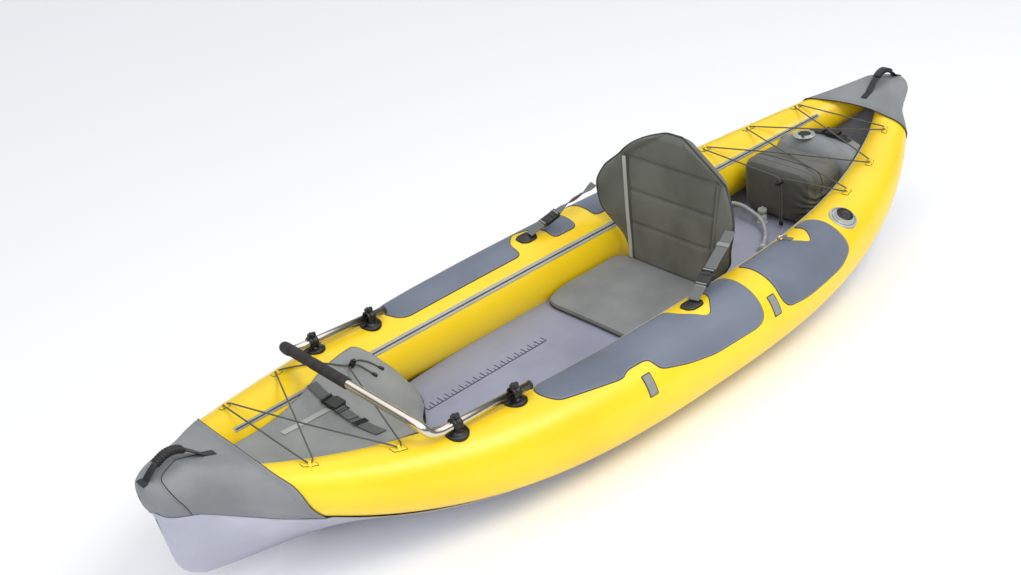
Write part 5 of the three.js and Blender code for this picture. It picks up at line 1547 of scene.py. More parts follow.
# One object from several, with their modifiers made real
def joinPieces(name, pieces):
    depsgraph = bpy.context.evaluated_depsgraph_get()
    build = bmesh.new()
    build.loops.layers.uv.new("cloth")
    paintsUsed = []
    for piece in pieces:
        shown = piece.evaluated_get(depsgraph)
        mesh = bpy.data.meshes.new_from_object(shown)
        for material in mesh.materials:
            if material not in paintsUsed:
                paintsUsed.append(material)
        order = [paintsUsed.index(m) for m in mesh.materials]
        for polygon in mesh.polygons:
            polygon.material_index = order[polygon.material_index]
        build.from_mesh(mesh)
        bpy.data.meshes.remove(mesh)
    for piece in pieces:
        bpy.data.objects.remove(piece)
    mesh = bpy.data.meshes.new(name)
    build.to_mesh(mesh)
    build.free()
    for material in paintsUsed:
        mesh.materials.append(material)
    return addObject(name, mesh)


# Accessory bar, its foam grip, its clamps
bar = {
    "inset": 0.042,
    "height": 0.025,
    "rise": 0.036,
    "reach": 0.098,
    "tail": 0.05,
    "cornerInset": 0.010,
    "cornerSetback": 0.026,
    "bend": 0.04,
    "radius": 0.012,
    "sleeve": 0.004,
    "sleeveEnd": 0.02,
    "clampShares": (0.539, 0.41),
    "clampWidth": 0.024,
    "clampWall": 0.006,
    "discRadius": 0.031,
    "discThickness": 0.005,
    "postRadius": 0.013,
}
legPlace = hull["spread"] - bar["inset"]


def angleUnder(x, y):
    middle, _, wide, _ = section(x)
    return math.degrees(math.asin((y - float(middle)) / float(wide)))


def legHeight(x):
    return float(onTube(x, angleUnder(x, legPlace))[2]) + bar["height"]


frontClamp, rearClamp = (share * hull["half"] for share in bar["clampShares"])
barPitch = math.atan2(legHeight(frontClamp) - legHeight(rearClamp), frontClamp - rearClamp)
clampSpacing = (frontClamp - rearClamp) / math.cos(barPitch)
barFrame = shift((frontClamp, 0, legHeight(frontClamp))) @ rotated(-barPitch, "Y")


def bentPath(corners, reach, count=16):
    corners = np.asarray(corners, float)
    path = [corners[0]]
    for before, corner, after in zip(corners, corners[1:], corners[2:]):
        a, b = before - corner, after - corner
        start = corner + a / np.linalg.norm(a) * min(reach, np.linalg.norm(a) / 2)
        end = corner + b / np.linalg.norm(b) * min(reach, np.linalg.norm(b) / 2)
        path += list(bend(start, corner, end, count))
    path.append(corners[-1])
    keep = [path[0]]
    for p in path[1:]:
        if np.linalg.norm(p - keep[-1]) > 1e-5:
            keep.append(p)
    return np.array(keep)


def barCorners(side):
    return [
        (-clampSpacing - bar["tail"], side * legPlace, 0),
        (bar["reach"] - bar["cornerSetback"], side * legPlace, 0),
        (bar["reach"], side * (legPlace - bar["cornerInset"]), bar["rise"]),
    ]


def makeBar():
    corners = barCorners(port) + barCorners(starboard)[::-1]
    path = bentPath(corners, bar["bend"])
    piece = addRod("accessoryBar", inFrame(barFrame, path), bar["radius"], "metal", 32, up=(0, 1, 0))
    place(piece, "accessory_bar", body="accessory_bar")
    _, drop, corner = barCorners(starboard)
    start = (bar["reach"], bar["sleeveEnd"] * legPlace, bar["rise"])
    end = (drop[0] - bar["cornerSetback"], drop[1], drop[2])
    path = bentPath([start, corner, drop, end], bar["bend"])[:-6]
    path = evenly(path, 110)
    run = np.linspace(0, 1, len(path))
    swell = 1 - 0.06 * np.exp(-((run - 0.5) / 0.03) ** 2)
    ends = np.minimum(1, 0.78 + 0.22 * np.sqrt(clamp(np.minimum(run, 1 - run) / 0.012, 0, 1)))
    radii = (bar["radius"] + bar["sleeve"]) * 0.95 * swell * ends
    piece = addRod("foamGrip", inFrame(barFrame, path), radii, "foam", 32)
    place(piece, "bar_sleeve", body="accessory_bar")
    for side in (port, starboard):
        foot = barFrame @ shift((-clampSpacing - bar["tail"], side * legPlace, 0))
        outer = bar["radius"] + 0.0008
        profile = [(0, -0.001), (outer - 0.001, -0.001), (outer - 0.0004, 0), (outer - 0.0004, 0.0026),
                   (outer - 0.0016, 0.0038), (outer - 0.003, 0.0038), (outer - 0.0038, 0.0026),
                   (0.0001, 0.002)]
        cap = addTurned(f"{sideNames[side]}BarCap", profile, foot @ rotated(-math.pi / 2, "Y"), "piping")
        place(cap, f"bar_cap_{sideNames[side]}", body="accessory_bar")


# Clamp: disc welded on the tube, post, split collar with its lug and bolt
def makeClamp(side, which, x, along):
    c = bar
    name = f"{sideNames[side]}{which.capitalize()}"
    turn = tubeFrame(x, angleUnder(x, legPlace), 0, side)
    r, t, p = c["discRadius"], c["discThickness"], c["postRadius"]
    top = c["height"] - 0.007
    profile = [(0, -0.012), (r - 0.001, -0.012), (r, -0.010), (r, t - 0.0016), (r - 0.0016, t),
               (p + 0.008, t + 0.0008), (p + 0.0035, t + 0.003), (p + 0.0008, t + 0.007),
               (p - 0.0005, top - 0.001), (p - 0.002, top), (0, top)]
    base = addTurned(f"{name}ClampBase", profile, turn, "black", 56)
    place(base, f"clamp_base_{which}_{sideNames[side]}")
    middle = barFrame @ shift((along, side * legPlace, 0))
    spin = middle @ rotated(math.pi / 2, "Y")
    inner, outer, half = c["radius"] + 0.00045, c["radius"] + 0.0003 + c["clampWall"], c["clampWidth"] / 2
    profile = [(inner, -half), (outer - 0.0016, -half), (outer, -half + 0.0016), (outer, -0.0052),
               (outer - 0.0014, -0.0038), (outer - 0.0014, 0.0038), (outer, 0.0052), (outer, half - 0.0016),
               (outer - 0.0016, half), (inner, half), (inner, -half)]
    ring = addTurned(f"{name}Ring", profile, spin, "black", 56)
    lift = c["radius"] + c["clampWall"]
    lug = addPlate(f"{name}Lug", boxOutline(c["clampWidth"] * 0.96, 0.011), lift - 0.002, lift + 0.0092,
                   middle, "black", 0.0018)
    slit = addPlate(f"{name}Slit", boxOutline(c["clampWidth"], 0.0016), lift - 0.001, lift + 0.0096,
                    middle, "piping", 0.0003, 1)
    bolt = [(0, -0.0086), (0.0042, -0.0086), (0.0048, -0.008), (0.0048, -0.0056), (0.0026, -0.0054),
            (0.0026, 0.0054), (0.0048, 0.0056), (0.0048, 0.008), (0.0042, 0.0086), (0, 0.0086)]
    turnBolt = middle @ shift((0, 0, lift + 0.0045)) @ rotated(math.pi / 2, "X")
    screw = addTurned(f"{name}Bolt", bolt, turnBolt, "piping", 24)
    collar = joinPieces(f"{name}ClampCollar", [ring, lug, slit, screw])
    place(collar, f"clamp_collar_{which}_{sideNames[side]}")


makeBar()
for side in (port, starboard):
    makeClamp(side, "front", frontClamp, 0)
    makeClamp(side, "rear", rearClamp, -clampSpacing)
print("bar clamped on")


# Seat straps: patch on the tube, webbing lead, side release buckle, webbing to the backrest's wing
straps = {
    "width": 0.034,
    "pad": (0.066, 0.052),
    "padThickness": 0.0046,
    "lead": 0.062,
    "webbing": 0.0024,
    "wingShare": 0.56,
    "wingLead": -0.0037,
    "buckle": 0.036,
    "tongue": 0.026,
    "buckleWidth": 0.040,
    "buckleThickness": 0.011,
}


def strapFrame(side):
    s = straps
    anchor = onTube(strapPlace, patches["strapAngle"], 0.0003 + s["padThickness"] - s["webbing"] / 2, side)
    half = backrest["half"] * float(smooth(backrest["widths"], s["wingShare"]))
    z = backrest["bottom"] + backrest["height"] * s["wingShare"]
    target = np.array([float(backFace(np.array(half), s["wingShare"])) + s["wingLead"], side * half, z])
    along = Vector(target - anchor)
    across = Vector((0, 0, 1)).cross(along).normalized()
    up = along.normalized().cross(across)
    turn = Matrix((along.normalized(), across, up)).transposed().to_4x4()
    return shift(Vector(anchor)) @ turn, along.length


# Buckle half with a raised panel, a rung and the webbing's turn over it
def dressBuckle(solid, turn, x, away):
    s = straps
    name, top, wide = solid.name, s["buckleThickness"] / 2, s["buckleWidth"]

    def at(offset):
        return turn @ shift((x + away * offset, 0, 0))

    panel = addPlate(name + "Panel", roundedBox(0.013, wide * 0.55, 0.004), top - 0.001,
                     top + 0.0014, at(0.0185), "black", 0.0008)
    rungs = [addPlate(f"{name}Rung{i}", roundedBox(0.0036, wide - 0.002, 0.0015), top - 0.001,
                      top + 0.0024, at(offset), "black", 0.0009)
             for i, offset in enumerate((0.0022, 0.0102))]
    # The webbing's turn over the rung is in the lighter webbing, a painted highlight along the rung
    spots = [(-0.004, 0.0005), (-0.001, top - 0.001), (0.002, top + 0.0008), (0.0062, top + 0.0012),
             (0.0098, top - 0.0006)]
    wrap = bandBetween(name + "Wrap", smoothPath(inFrame(turn, [(x + away * t, 0, z) for t, z in spots]), 30),
                       upOf(turn), s["width"] - 0.001, 0.0018, "lightWebbing")
    return joinPieces(name + "Dressed", [solid, panel, *rungs, wrap])


def makeStrap(side):
    s = straps
    name = sideNames[side]
    turn, length = strapFrame(side)
    a, b = s["pad"][0] / 2, s["pad"][1] / 2
    outline = np.array([(-a, -b * 0.55), (-a * 0.62, -b), (a * 0.5, -b), (a, -b * 0.55), (a, b * 0.55),
                        (a * 0.5, b), (-a * 0.62, b), (-a, b * 0.55)])
    outline = roundCorners(outline, 0.008) + (strapPlace, patches["strapAngle"] * arcScale)
    pad = addSheet(f"{name}StrapPad", outline, side, 0.0003, "black", 0.0042, 0.002, 0.008, 0.002, 0.004)
    t = np.linspace(0, 1, 30)[:, None]
    start, end = np.array([0.012, 0, 0.001]), np.array([s["lead"] + 0.012, 0, 0])
    path = inFrame(turn, start + (end - start) * t + np.array([0, 0, 0.0016]) * np.sin(math.pi * t))
    lead = bandBetween(f"{name}Lead", path, upOf(turn), s["width"], s["webbing"], "webbing")
    patch = joinPieces(f"{name}StrapPatch", [pad, lead])
    place(patch, f"strap_patch_{name}")
    socket = fromSolid(f"buckle_socket_{name}", f"{name}BuckleSocket", "black", 0.0016, 3)
    place(dressBuckle(socket, turn, s["lead"], 1), f"buckle_socket_{name}")
    tongue = fromSolid(f"buckle_tongue_{name}", f"{name}BuckleTongue", "black", 0.0012, 3)
    place(dressBuckle(tongue, turn, s["lead"] + s["buckle"] + s["tongue"], -1), f"buckle_tongue_{name}")
    begin = s["lead"] + 0.0003 + s["buckle"] + 0.0003 + s["tongue"] - 0.006
    count = 90
    t = np.linspace(0, 1, count)[:, None]
    start, end = np.array([begin, 0, 0]), np.array([length - 0.001, 0, 0])
    slack = 0.0012 if side > 0 else 0.004
    sag = np.array([0, 0, slack]) * np.sin(2 * math.pi * t)
    path = inFrame(turn, start + (end - start) * t + sag)
    lean = (0 if side > 0 else 0.85) * np.sin(math.pi * t[:, 0]) ** 2
    flat = np.array(turn.to_3x3())
    ups = np.cos(lean)[:, None] * flat[:, 2] + np.sin(lean)[:, None] * flat[:, 1]
    strap = bandBetween(f"{name}Webbing", path, ups, s["width"], s["webbing"], "webbing")
    k = count * 6 // 10
    fold = bandBetween(f"{name}Fold", path[k:k + 9] + ups[k] * 0.0022, ups[k:k + 9], s["width"] + 0.004,
                       0.0026, "lightWebbing")
    strap = joinPieces(f"{name}SeatStrap", [strap, fold])
    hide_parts(f"seat_strap_{name}")
    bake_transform(strap)


bothSides(makeStrap)
print("seat straps buckled")


# Carry handles: webbing over a ribbed grip
handles = {
    "ends": (0.884, 0.984),
    "arch": 0.046,
    "width": 0.024,
    "webbing": 0.0024,
    "gripWidth": 0.026,
    "gripThickness": 0.015,
    "grip": (0.27, 0.79),
    "ribs": 13,
    "ribDepth": 0.0026,
}


def crestAt(x):
    y, z, _, tall = (float(v) for v in section(x))
    return z + tall + hull["skinLift"] - hull["sagShare"] * y


def makeHandle(end):
    h = handles
    ends = np.array(h["ends"]) * hull["half"]
    feet = [np.array([end * x, 0, crestAt(x) + 0.0022]) for x in ends]
    t = np.linspace(0, 1, 220)
    path = feet[0] + (feet[1] - feet[0]) * t[:, None]
    path[:, 2] += h["arch"] * np.sin(math.pi * t)
    a, b = h["grip"]
    inside = stepUp((t - a) / 0.03) * stepUp((b - t) / 0.03)
    wave = 0.5 + 0.5 * np.cos(2 * math.pi * h["ribs"] * (t - a) / (b - a))
    halfWidth = h["width"] / 2 + inside * ((h["gripWidth"] - h["width"]) / 2 - h["ribDepth"] / 2 * wave)
    swell = (h["gripThickness"] - h["webbing"]) / 2 - h["ribDepth"] / 2 * wave
    halfThickness = h["webbing"] / 2 + inside * swell
    rights = np.tile([0.0, 1.0, 0.0], (len(path), 1))
    ups = np.cross(unit(np.gradient(path, axis=0)), rights)
    ups *= np.sign(ups[:, 2:])
    rows = bandRows(path, rights, ups, halfWidth, halfThickness)
    name = "bow" if end > 0 else "stern"
    strap = orient(addGrid(f"{name}HandleStrap", rows, "black", rolled=True, ends=True))
    pieces = [strap]
    for i, (share, reach, width) in enumerate(((h["ends"][0], -0.03, 0.022), (h["ends"][1], 0.014, 0.036))):
        xs = share * hull["half"] + np.linspace(-0.012, 1, 30) * reach
        foot = np.array([(end * x, 0, crestAt(x) + 0.0022) for x in xs])
        pieces.append(bandBetween(f"{name}HandleFoot{i}", foot, (0, 0, 1), width, 0.0024, "blackWebbing"))
    piece = joinPieces(f"{name}Handle", pieces)
    place(piece, f"{name}_handle")


for end in (1, -1):
    makeHandle(end)
print("handles sewn on")


# Tabs welded on the tubes for the shock cord: share of the half length and degrees from the top
tabs = {
    "bow": [(0.771, 8), (0.637, 8)],
    "stern": [(-0.534, -2), (-0.653, 1), (-0.773, 1)],
    "length": 0.034,
    "width": 0.026,
    "thickness": 0.0024,
    "ringDepth": 0.006,
    "ringWall": 0.0018,
    "hole": 0.0028,
}
cord = {"radius": 0.0022, "tipRadius": 0.0044, "tipLength": 0.016, "turn": 0.010, "lean": 0.006,
        "cross": 0.0035, "spacing": 0.0064, "bend": 0.012}
tabLift = tabs["thickness"] + tabs["hole"] + tabs["ringWall"] / 2


def makeTab(side, share, angle, index):
    x = share * hull["half"]
    turn = tubeFrame(x, angle, 0, side)
    name = f"{sideNames[side]}{'Bow' if share > 0 else 'Stern'}Tab{index}"
    outline = roundCorners(np.array(boxOutline(tabs["length"], tabs["width"])), 0.005)
    middle = np.array([x, angle * arcScale])
    pad = addSheet(name + "Pad", outline + middle, side, 0.0001, "shell", tabs["thickness"], 0.0016, 0.006,
                   0.0015, 0.003)
    outer, inner, half = tabs["hole"] + tabs["ringWall"], tabs["hole"], tabs["ringDepth"] / 2
    profile = ringOutline(inner, outer, half, 0.0005, 0.0006)
    spin = turn @ shift((0, 0, tabLift)) @ rotated(math.pi / 2, "Y")
    ring = addTurned(name + "Ring", profile, spin, "shell", 28)
    width = tabs["width"] * 0.42
    saddle = []
    for t in np.linspace(-1, 1, 25):
        lift = tabs["thickness"] + (outer * 2 - 0.0018) * math.exp(-(t * 2.2) ** 2)
        saddle.append((0, t * width, lift - 0.0004))
    path = inFrame(turn, saddle)
    band = bandBetween(name + "Band", path, upOf(turn), tabs["ringDepth"] * 1.2, 0.0014, "shell")
    flat = closedEvenly(outline + middle, 0.003)
    addLoopRod(name + "Edge", onFlat(flat, 0.0006, side), 0.0008, "piping", "hull", 6)
    return place(joinPieces(name, [pad, ring, band]))


for side in (port, starboard):
    for index, (share, angle) in enumerate(tabs["bow"] + tabs["stern"]):
        makeTab(side, share, angle, index)


def throughTab(spot, side, enter):
    share, angle = spot
    turn = tubeFrame(share * hull["half"], angle, 0, side)
    inside = tabs["ringDepth"] / 2 + 0.0003
    turned = tabLift + tabs["thickness"] / 2
    c = cord
    local = [(c["turn"], c["lean"], turned), (inside, 0, tabLift), (-inside, 0, tabLift),
             (-c["turn"], c["lean"], turned)]
    return [np.array(turn @ Vector((enter * along, -side * lean, up))) for along, lean, up in local]


def crossing(start, end, lift):
    return (np.asarray(start) + np.asarray(end)) / 2 + (0, 0, lift)


# Cord locks: toggle frames where the two runs meet
locks = {
    "radius": 0.0085,
    "length": 0.020,
    "holeHeight": 0.006,
    "buttonRadius": 0.0055,
    "buttonLength": 0.009,
    "bite": 0.002,
    "bowPlace": (0.51, -0.83),
    "seatLift": 0.0005,
    "stern": (0.017, 0.045, 0.024),
    "drops": (-26, -10),
    "lift": 0.0046,
    "bowTails": [
        [(0.49, -0.85), (0.474, -0.82), (0.455, -0.77)],
        [(0.492, -0.77), (0.486, -0.7), (0.478, -0.62)],
    ],
}


def braceFrame(share, t):
    x = share * hull["half"]
    along = Vector(braceTop(x + 0.013, t) - braceTop(x - 0.013, t)).normalized()
    over = Vector(braceTop(x, t + 0.05) - braceTop(x, t - 0.05))
    return toFrame(Vector(braceTop(x, t)), along, along.cross(over))


bowLockFrame = braceFrame(*locks["bowPlace"]) @ shift((0, 0, locks["seatLift"]))
ahead, across, below = locks["stern"]
tabShare, tabAngle = tabs["stern"][0]
tabHeight = float(onTube(tabShare * hull["half"], tabAngle)[2])
sternSpot = Vector((bag["front"] + ahead + locks["radius"] - locks["holeHeight"], across, tabHeight - below))
sternLockFrame = shift(sternSpot) @ Matrix(((0, 0, 1), (0, -1, 0), (1, 0, 0))).to_4x4()


def throughLock(turn, sign, reverse=False):
    reach = locks["radius"] + cord["turn"] / 2
    y, z = sign * cord["spacing"] / 2, locks["holeHeight"]
    path = [np.array(turn @ Vector((s * reach, y, z))) for s in (1, -1)]
    return path[::-1] if reverse else path


def overBrace(spot):
    share, t = spot
    return braceTop(share * hull["half"], t) + (0, 0, locks["lift"])


def downTube(start, end, side):
    made = []
    for i, angle in enumerate(locks["drops"]):
        x = start[0] + (end[0] - start[0]) * (i + 1) / (len(locks["drops"]) + 1)
        made.append(onTube(x, angle, locks["lift"], side))
    return made


def bowRoute():
    front, rear = tabs["bow"]
    out, back = throughLock(bowLockFrame, -1, True), throughLock(bowLockFrame, 1)
    tails = [[overBrace(spot) for spot in tail] for tail in locks["bowTails"]]
    farRear, nearFront = throughTab(rear, starboard, -1), throughTab(front, port, -1)
    farFront, nearRear = throughTab(front, starboard, 1), throughTab(rear, port, 1)
    return [
        *tails[0][::-1], *out, *downTube(out[-1], farRear[0], starboard), *farRear,
        crossing(farRear[-1], nearFront[0], cord["cross"]), *nearFront, *farFront,
        crossing(farFront[-1], nearRear[0], -cord["cross"]), *nearRear, *back, *tails[1],
    ]


def sternRoute():
    a, b, c = tabs["stern"]
    out, back = throughLock(sternLockFrame, 1, True), throughLock(sternLockFrame, -1)

    def drop(p):
        return np.array([p[0], p[1], bag["bottom"] + 0.008])

    farA, nearB, farC = throughTab(a, starboard, 1), throughTab(b, port, 1), throughTab(c, starboard, 1)
    nearC, farB, nearA = throughTab(c, port, -1), throughTab(b, starboard, -1), throughTab(a, port, -1)
    return [
        drop(out[0]), *out, *farA, crossing(farA[-1], nearB[0], cord["cross"]), *nearB,
        crossing(nearB[-1], farC[0], cord["cross"]), *farC, *nearC,
        crossing(nearC[-1], farB[0], -cord["cross"]), *farB,
        crossing(farB[-1], nearA[0], -cord["cross"]), *nearA, *back, drop(back[1]),
    ]


# Taut runs stay straight; only the turns at tabs and locks are rounded
def cordPath(route):
    path = bentPath(route, cord["bend"], 5)
    fine = [path[0]]
    for a, b in zip(path, path[1:]):
        steps = max(int(np.linalg.norm(b - a) / 0.02), 1)
        fine += [a + (b - a) * (i + 1) / steps for i in range(steps)]
    return np.array(fine)


def makeLacing(name, route, node):
    path = cordPath(route)
    piece = addRod(name, path, cord["radius"], "braid", 10, up=(0.3, 1, 0.2))
    place(piece, node)
    for i, (end, inner) in enumerate(((0, 1), (-1, -2))):
        away = unit(path[inner] - path[end])
        tip = [path[end] - away * 0.0006 + away * cord["tipLength"] * t for t in (0, 0.08, 0.2, 0.8, 0.95, 1)]
        radii = np.array([0.5, 0.85, 1, 1, 0.86, 0.66]) * cord["tipRadius"]
        place(addRod(f"{name}Tip{i + 1}", tip, radii, "black", 14, up=(0.3, 1, 0.2)))


makeLacing("bowLacing", bowRoute(), "bow_lacing")
makeLacing("sternLacing", sternRoute(), "stern_lacing")


def makeLock(name, turn, node, buttonNode, body):
    k = locks
    r, n = k["radius"], k["length"]
    b = k["buttonRadius"]
    profile = [(0, 0), (r - 0.0022, 0), (r - 0.0006, 0.0007), (r, 0.0022), (r, 0.010), (r - 0.0007, 0.0112),
               (r - 0.0007, 0.0128), (r, 0.014), (r, n - 0.002), (r - 0.0006, n - 0.0006), (r - 0.002, n),
               (b + 0.0004, n), (b + 0.0003, n - 0.0052), (0, n - 0.0052)]
    place(addTurned(name, profile, turn, "black", 40), node)
    low = n - k["bite"]
    top = low + k["buttonLength"]
    profile = [(0, low), (b, low), (b, top - 0.0016), (b - 0.0005, top - 0.0005), (b - 0.0016, top),
               (0.0028, top), (0.0022, top - 0.0005), (0, top - 0.0006)]
    place(addTurned(name + "Button", profile, turn, "black", 32), buttonNode, body=body)


makeLock("bowCordLock", bowLockFrame, "bow_cord_lock", "bow_lock_button", "bow_lock_button")
makeLock("sternCordLock", sternLockFrame, "stern_cord_lock", "stern_lock_button", "stern_lock_button")
print("lacing threaded")


# Air valves of the tubes: grey flange, black well and sprung plunger
valves = {
    "share": -0.456,
    "angle": 25,
    "radius": 0.043,
    "boss": 0.029,
    "bore": 0.021,
    "height": 0.014,
    "floor": 0.0034,
    "travel": 0.004,
    "plunger": 0.005,
}


def valveFrame(side):
    return tubeFrame(valves["share"] * hull["half"], valves["angle"], 0, side)


def makeValve(side):
    v = valves
    name = sideNames[side]
    turn = valveFrame(side)
    r, b, c, top = v["radius"], v["boss"], v["bore"], v["height"]
    profile = [(r - 0.002, -0.014), (r, -0.012), (r, 0.0006), (r - 0.0012, 0.0018), (r - 0.004, 0.0026),
               (b + 0.004, 0.0034), (b + 0.001, 0.0048), (b, 0.0072), (b - 0.0006, top - 0.0022),
               (b - 0.002, top - 0.0006), (b - 0.0035, top), (c + 0.0018, top), (c + 0.0004, top - 0.0008),
               (c, top - 0.002), (c, v["floor"]), (0, v["floor"])]
    body = addTurned(f"{name}ValveBody", profile, turn, "grey", 64)
    place(body, f"valve_body_{name}")
    cup = [(b - 0.0026, top - 0.0002), (b - 0.0032, top + 0.0005), (c + 0.0018, top + 0.0004),
           (c - 0.00005, top - 0.0008), (c - 0.0001, v["floor"] + 0.0001), (0, v["floor"] + 0.0001)]
    well = addTurned(f"{name}ValveWell", cup, turn, "black", 64)
    groove = [(0.0352, 0.0026), (0.0352, 0.0037), (0.0366, 0.0037), (0.0366, 0.0026)]
    groove = addTurned(f"{name}Groove", groove, turn, "piping", 64)
    place(joinPieces(f"{name}ValveWell", [well, groove]))
    low = v["floor"] + 0.0003 + v["travel"]
    high = low + v["plunger"]
    p = c - 0.0004
    profile = [(0, low), (p, low), (p, high - 0.0012), (p - 0.0012, high), (0.0145, high),
               (0.0135, high - 0.0011), (0.0075, high - 0.0011),
               (0.0067, high), (0.0058, high), (0.005, high - 0.0003), (0, high - 0.0004)]
    plunger = addTurned(f"{name}ValvePlunger", profile, turn, "black", 56)
    place(plunger, f"valve_plunger_{name}", body=f"valve_plunger_{name}")


bothSides(makeValve)


def makeThwartValve():
    v = valves
    x = thwart["front"] - thwart["length"] * thwart["valveShare"]
    turn = shift((x, thwart["valveAcross"], thwart["top"] + 0.0003 - v["height"] / 2))
    b = v["boss"]
    profile = [(0.036, 0.0074), (0.037, 0.0082), (0.0362, 0.0092), (b + 0.001, 0.0098), (b, 0.0104),
               (b - 0.0006, 0.0118), (b - 0.0022, 0.0126), (0.0225, 0.0132), (0.0215, 0.012),
               (0.0205, 0.0105), (0, 0.0105)]
    ring = addTurned("thwartValveRing", profile, turn, "grey", 64)
    place(ring, "thwart_valve")
    low, c = 0.0034, v["bore"] - 0.0008
    profile = [(0, low + 0.0072), (c, low + 0.0072), (c, 0.0122), (c - 0.0014, 0.0134), (0.009, 0.0136),
               (0.0082, 0.0146), (0.0068, 0.0152), (0, 0.0152)]
    place(addTurned("thwartValveCap", profile, turn, "black", 56))
    path = [(0.004, 0, 0.0142), (0.014, 0.004, 0.0142), (0.024, 0.010, 0.0142), (0.029, 0.020, 0.0142)]
    path = inFrame(turn, path)
    place(bandBetween("thwartValveTether", smoothPath(path, 24), (0, 0, 1), 0.006, 0.0016, "black"))


makeThwartValve()


# Hose and valve of the floor
floorHose = {
    "radius": 0.0065,
    "route": [
        (-0.414, 0.28, 0), (-0.447, 0.2, 0.15), (-0.479, 0.088, 0.4), (-0.4995, -0.035, 0.85),
        (-0.5055, -0.16, 1.3), (-0.511, -0.29, 1.5), (-0.512, -0.42, 1.3), (-0.503, -0.52, 0.6),
        (-0.492, -0.57, 0),
    ],
    "elbow": 0.022,
    "valve": (-0.522, -0.09),
    "valveRadius": 0.015,
    "valveHeight": 0.046,
}


def makeHose():
    h = floorHose
    level = floorPanel["top"] + 0.0003 + h["elbow"] / 2
    route = np.array(h["route"]) * (hull["half"], hull["spread"], h["elbow"]) + (0, 0, level)
    ends = [(route[0], route[1]), (route[-1], route[-2])]
    starts = [a + unit(b - a) * h["elbow"] / 2 for a, b in ends]
    line = smoothPath([starts[0], *route[1:-1], starts[1]], 130)
    hose = addRod("floorHose", line, h["radius"], "hose", 20)
    place(hose, "floor_hose")
    for i, (corner, after) in enumerate(ends):
        ahead = (after - corner) * (1, 1, 0)
        turn = toFrame(Vector(corner), Vector(ahead), (0, 0, 1))
        block = addPlate(f"elbow{i}Block", roundedBox(0.021, 0.021, 0.006), -0.0108, 0.0085,
                         turn, "grey", 0.0014, 2)
        spout = toFrame(Vector(corner), Vector((0, 0, -1)), Vector(after - corner))
        barb = [(0, 0.004), (0.0088, 0.004), (0.0092, 0.0105), (0.0088, 0.0135), (0.0092, 0.0145),
                (0.0086, 0.0175), (0.0066, 0.0178), (0.0066, 0.012), (0, 0.012)]
        ring = addTurned(f"elbow{i}Barb", barb, spout, "grey", 32)
        cap = addTurned(f"elbow{i}Cap", [(0, 0.0082), (0.0082, 0.0082), (0.0084, 0.0108), (0.0074, 0.0116),
                                         (0, 0.0117)], turn, "grey", 32)
        place(joinPieces(f"hoseElbow{i + 1}", [block, ring, cap]))


makeHose()


# Twist valve: ribbed cap turned on a neck, over a round foot
def makeFloorValve():
    h = floorHose
    x, y = h["valve"][0] * hull["half"], h["valve"][1] * hull["spread"]
    turn = shift((x, y, floorPanel["top"] + 0.0003))
    r, tall = h["valveRadius"], h["valveHeight"]
    low, capLow = tall * 0.55, tall * 0.72
    foot = addTurned("floorValveFoot", [(0, 0), (r + 0.006, 0), (r + 0.006, 0.0016), (r + 0.001, 0.0034),
                                        (r, 0.006), (r, low - 0.002), (r - 0.002, low),
                                        (r * 0.7, low), (r * 0.7, capLow + 0.002), (0, capLow + 0.002)],
                                        turn, "grey", 48)
    sides = 96
    angles = circle(sides)
    ribs = 1 - 0.055 * (0.5 + 0.5 * np.cos(angles * 12)) ** 2
    rows = []
    for radius, z in ((r * 0.55, capLow), (r - 0.0012, capLow), (r, capLow + 0.0012), (r, tall - 0.0022),
                      (r - 0.0008, tall - 0.0006), (r - 0.002, tall), (r * 0.5, tall),
                      (r * 0.42, tall - 0.0012), (0.0001, tall - 0.0012)):
        shape = ribs if radius > r * 0.8 else np.ones(sides)
        rows.append(np.stack([radius * shape * np.cos(angles), radius * shape * np.sin(angles),
                              np.full(sides, z)], axis=1))
    cap = addGrid("floorValveKnob", rows, "grey", rolled=True, ends=True)
    cap.data.transform(turn)
    orient(cap, 1e-6)
    wing = addPlate("floorValveWing", roundedBox(0.026, 0.0048, 0.0022), tall - 0.0016,
                    tall + 0.0035, turn @ rotated(0.6, "Z"), "grey", 0.0011, 2)
    place(joinPieces("floorValve", [foot, cap, wing]), "floor_valve")


makeFloorValve()
print("valves and hose fitted")


# Lashing rings: bent wire in a sewn loop on the inner face of the tubes
rings = {"share": -0.316, "angle": -17, "length": 0.030, "reach": 0.022, "wire": 0.0022, "barrel": 0.0046,
         "barrelLength": 0.018}


def makeLashingRing(side):
    r = rings
    name = sideNames[side]
    lift = 0.0003 + 0.0024 + r["barrel"] - r["wire"] / 2
    turn = tubeFrame(r["share"] * hull["half"], r["angle"], lift, side)
    half = r["length"] / 2
    angles = np.linspace(0, math.pi, 29)[1:-1]
    arc = [(half * math.cos(a), -r["reach"] * math.sin(a) ** 0.86, 0) for a in angles]
    spin = turn @ rotated(math.pi, "Z") if side < 0 else turn
    corners = [(half, 0, 0), *arc, (-half, 0, 0)]
    path = smoothPath(inFrame(spin, corners), 150, closed=True)[:-1]
    ring = addLoopRod(f"{name}LashingRing", path, r["wire"], "metal", f"lashing_ring_{name}", 14)
    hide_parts(f"lashing_ring_{name}")
    inner, outer, width = r["wire"] + 0.0004, r["barrel"], r["barrelLength"] / 2
    profile = ringOutline(inner, outer, width, 0.0006, 0.0008)
    loop = addTurned(f"{name}RingLoop", profile, turn @ rotated(math.pi / 2, "Y"), "webbing", 32)
    middle = (r["share"] * hull["half"], (r["angle"] + 6) * arcScale)
    base = roundedBox(r["barrelLength"] * 1.05, 0.034, 0.003) + middle
    pad = addSheet(f"{name}RingPad", base, side, 0.0022, "webbing", 0.0018, 0.0008, 0.006, 0.0012, 0.003)
    place(joinPieces(f"{name}RingMount", [loop, pad]))


bothSides(makeLashingRing)


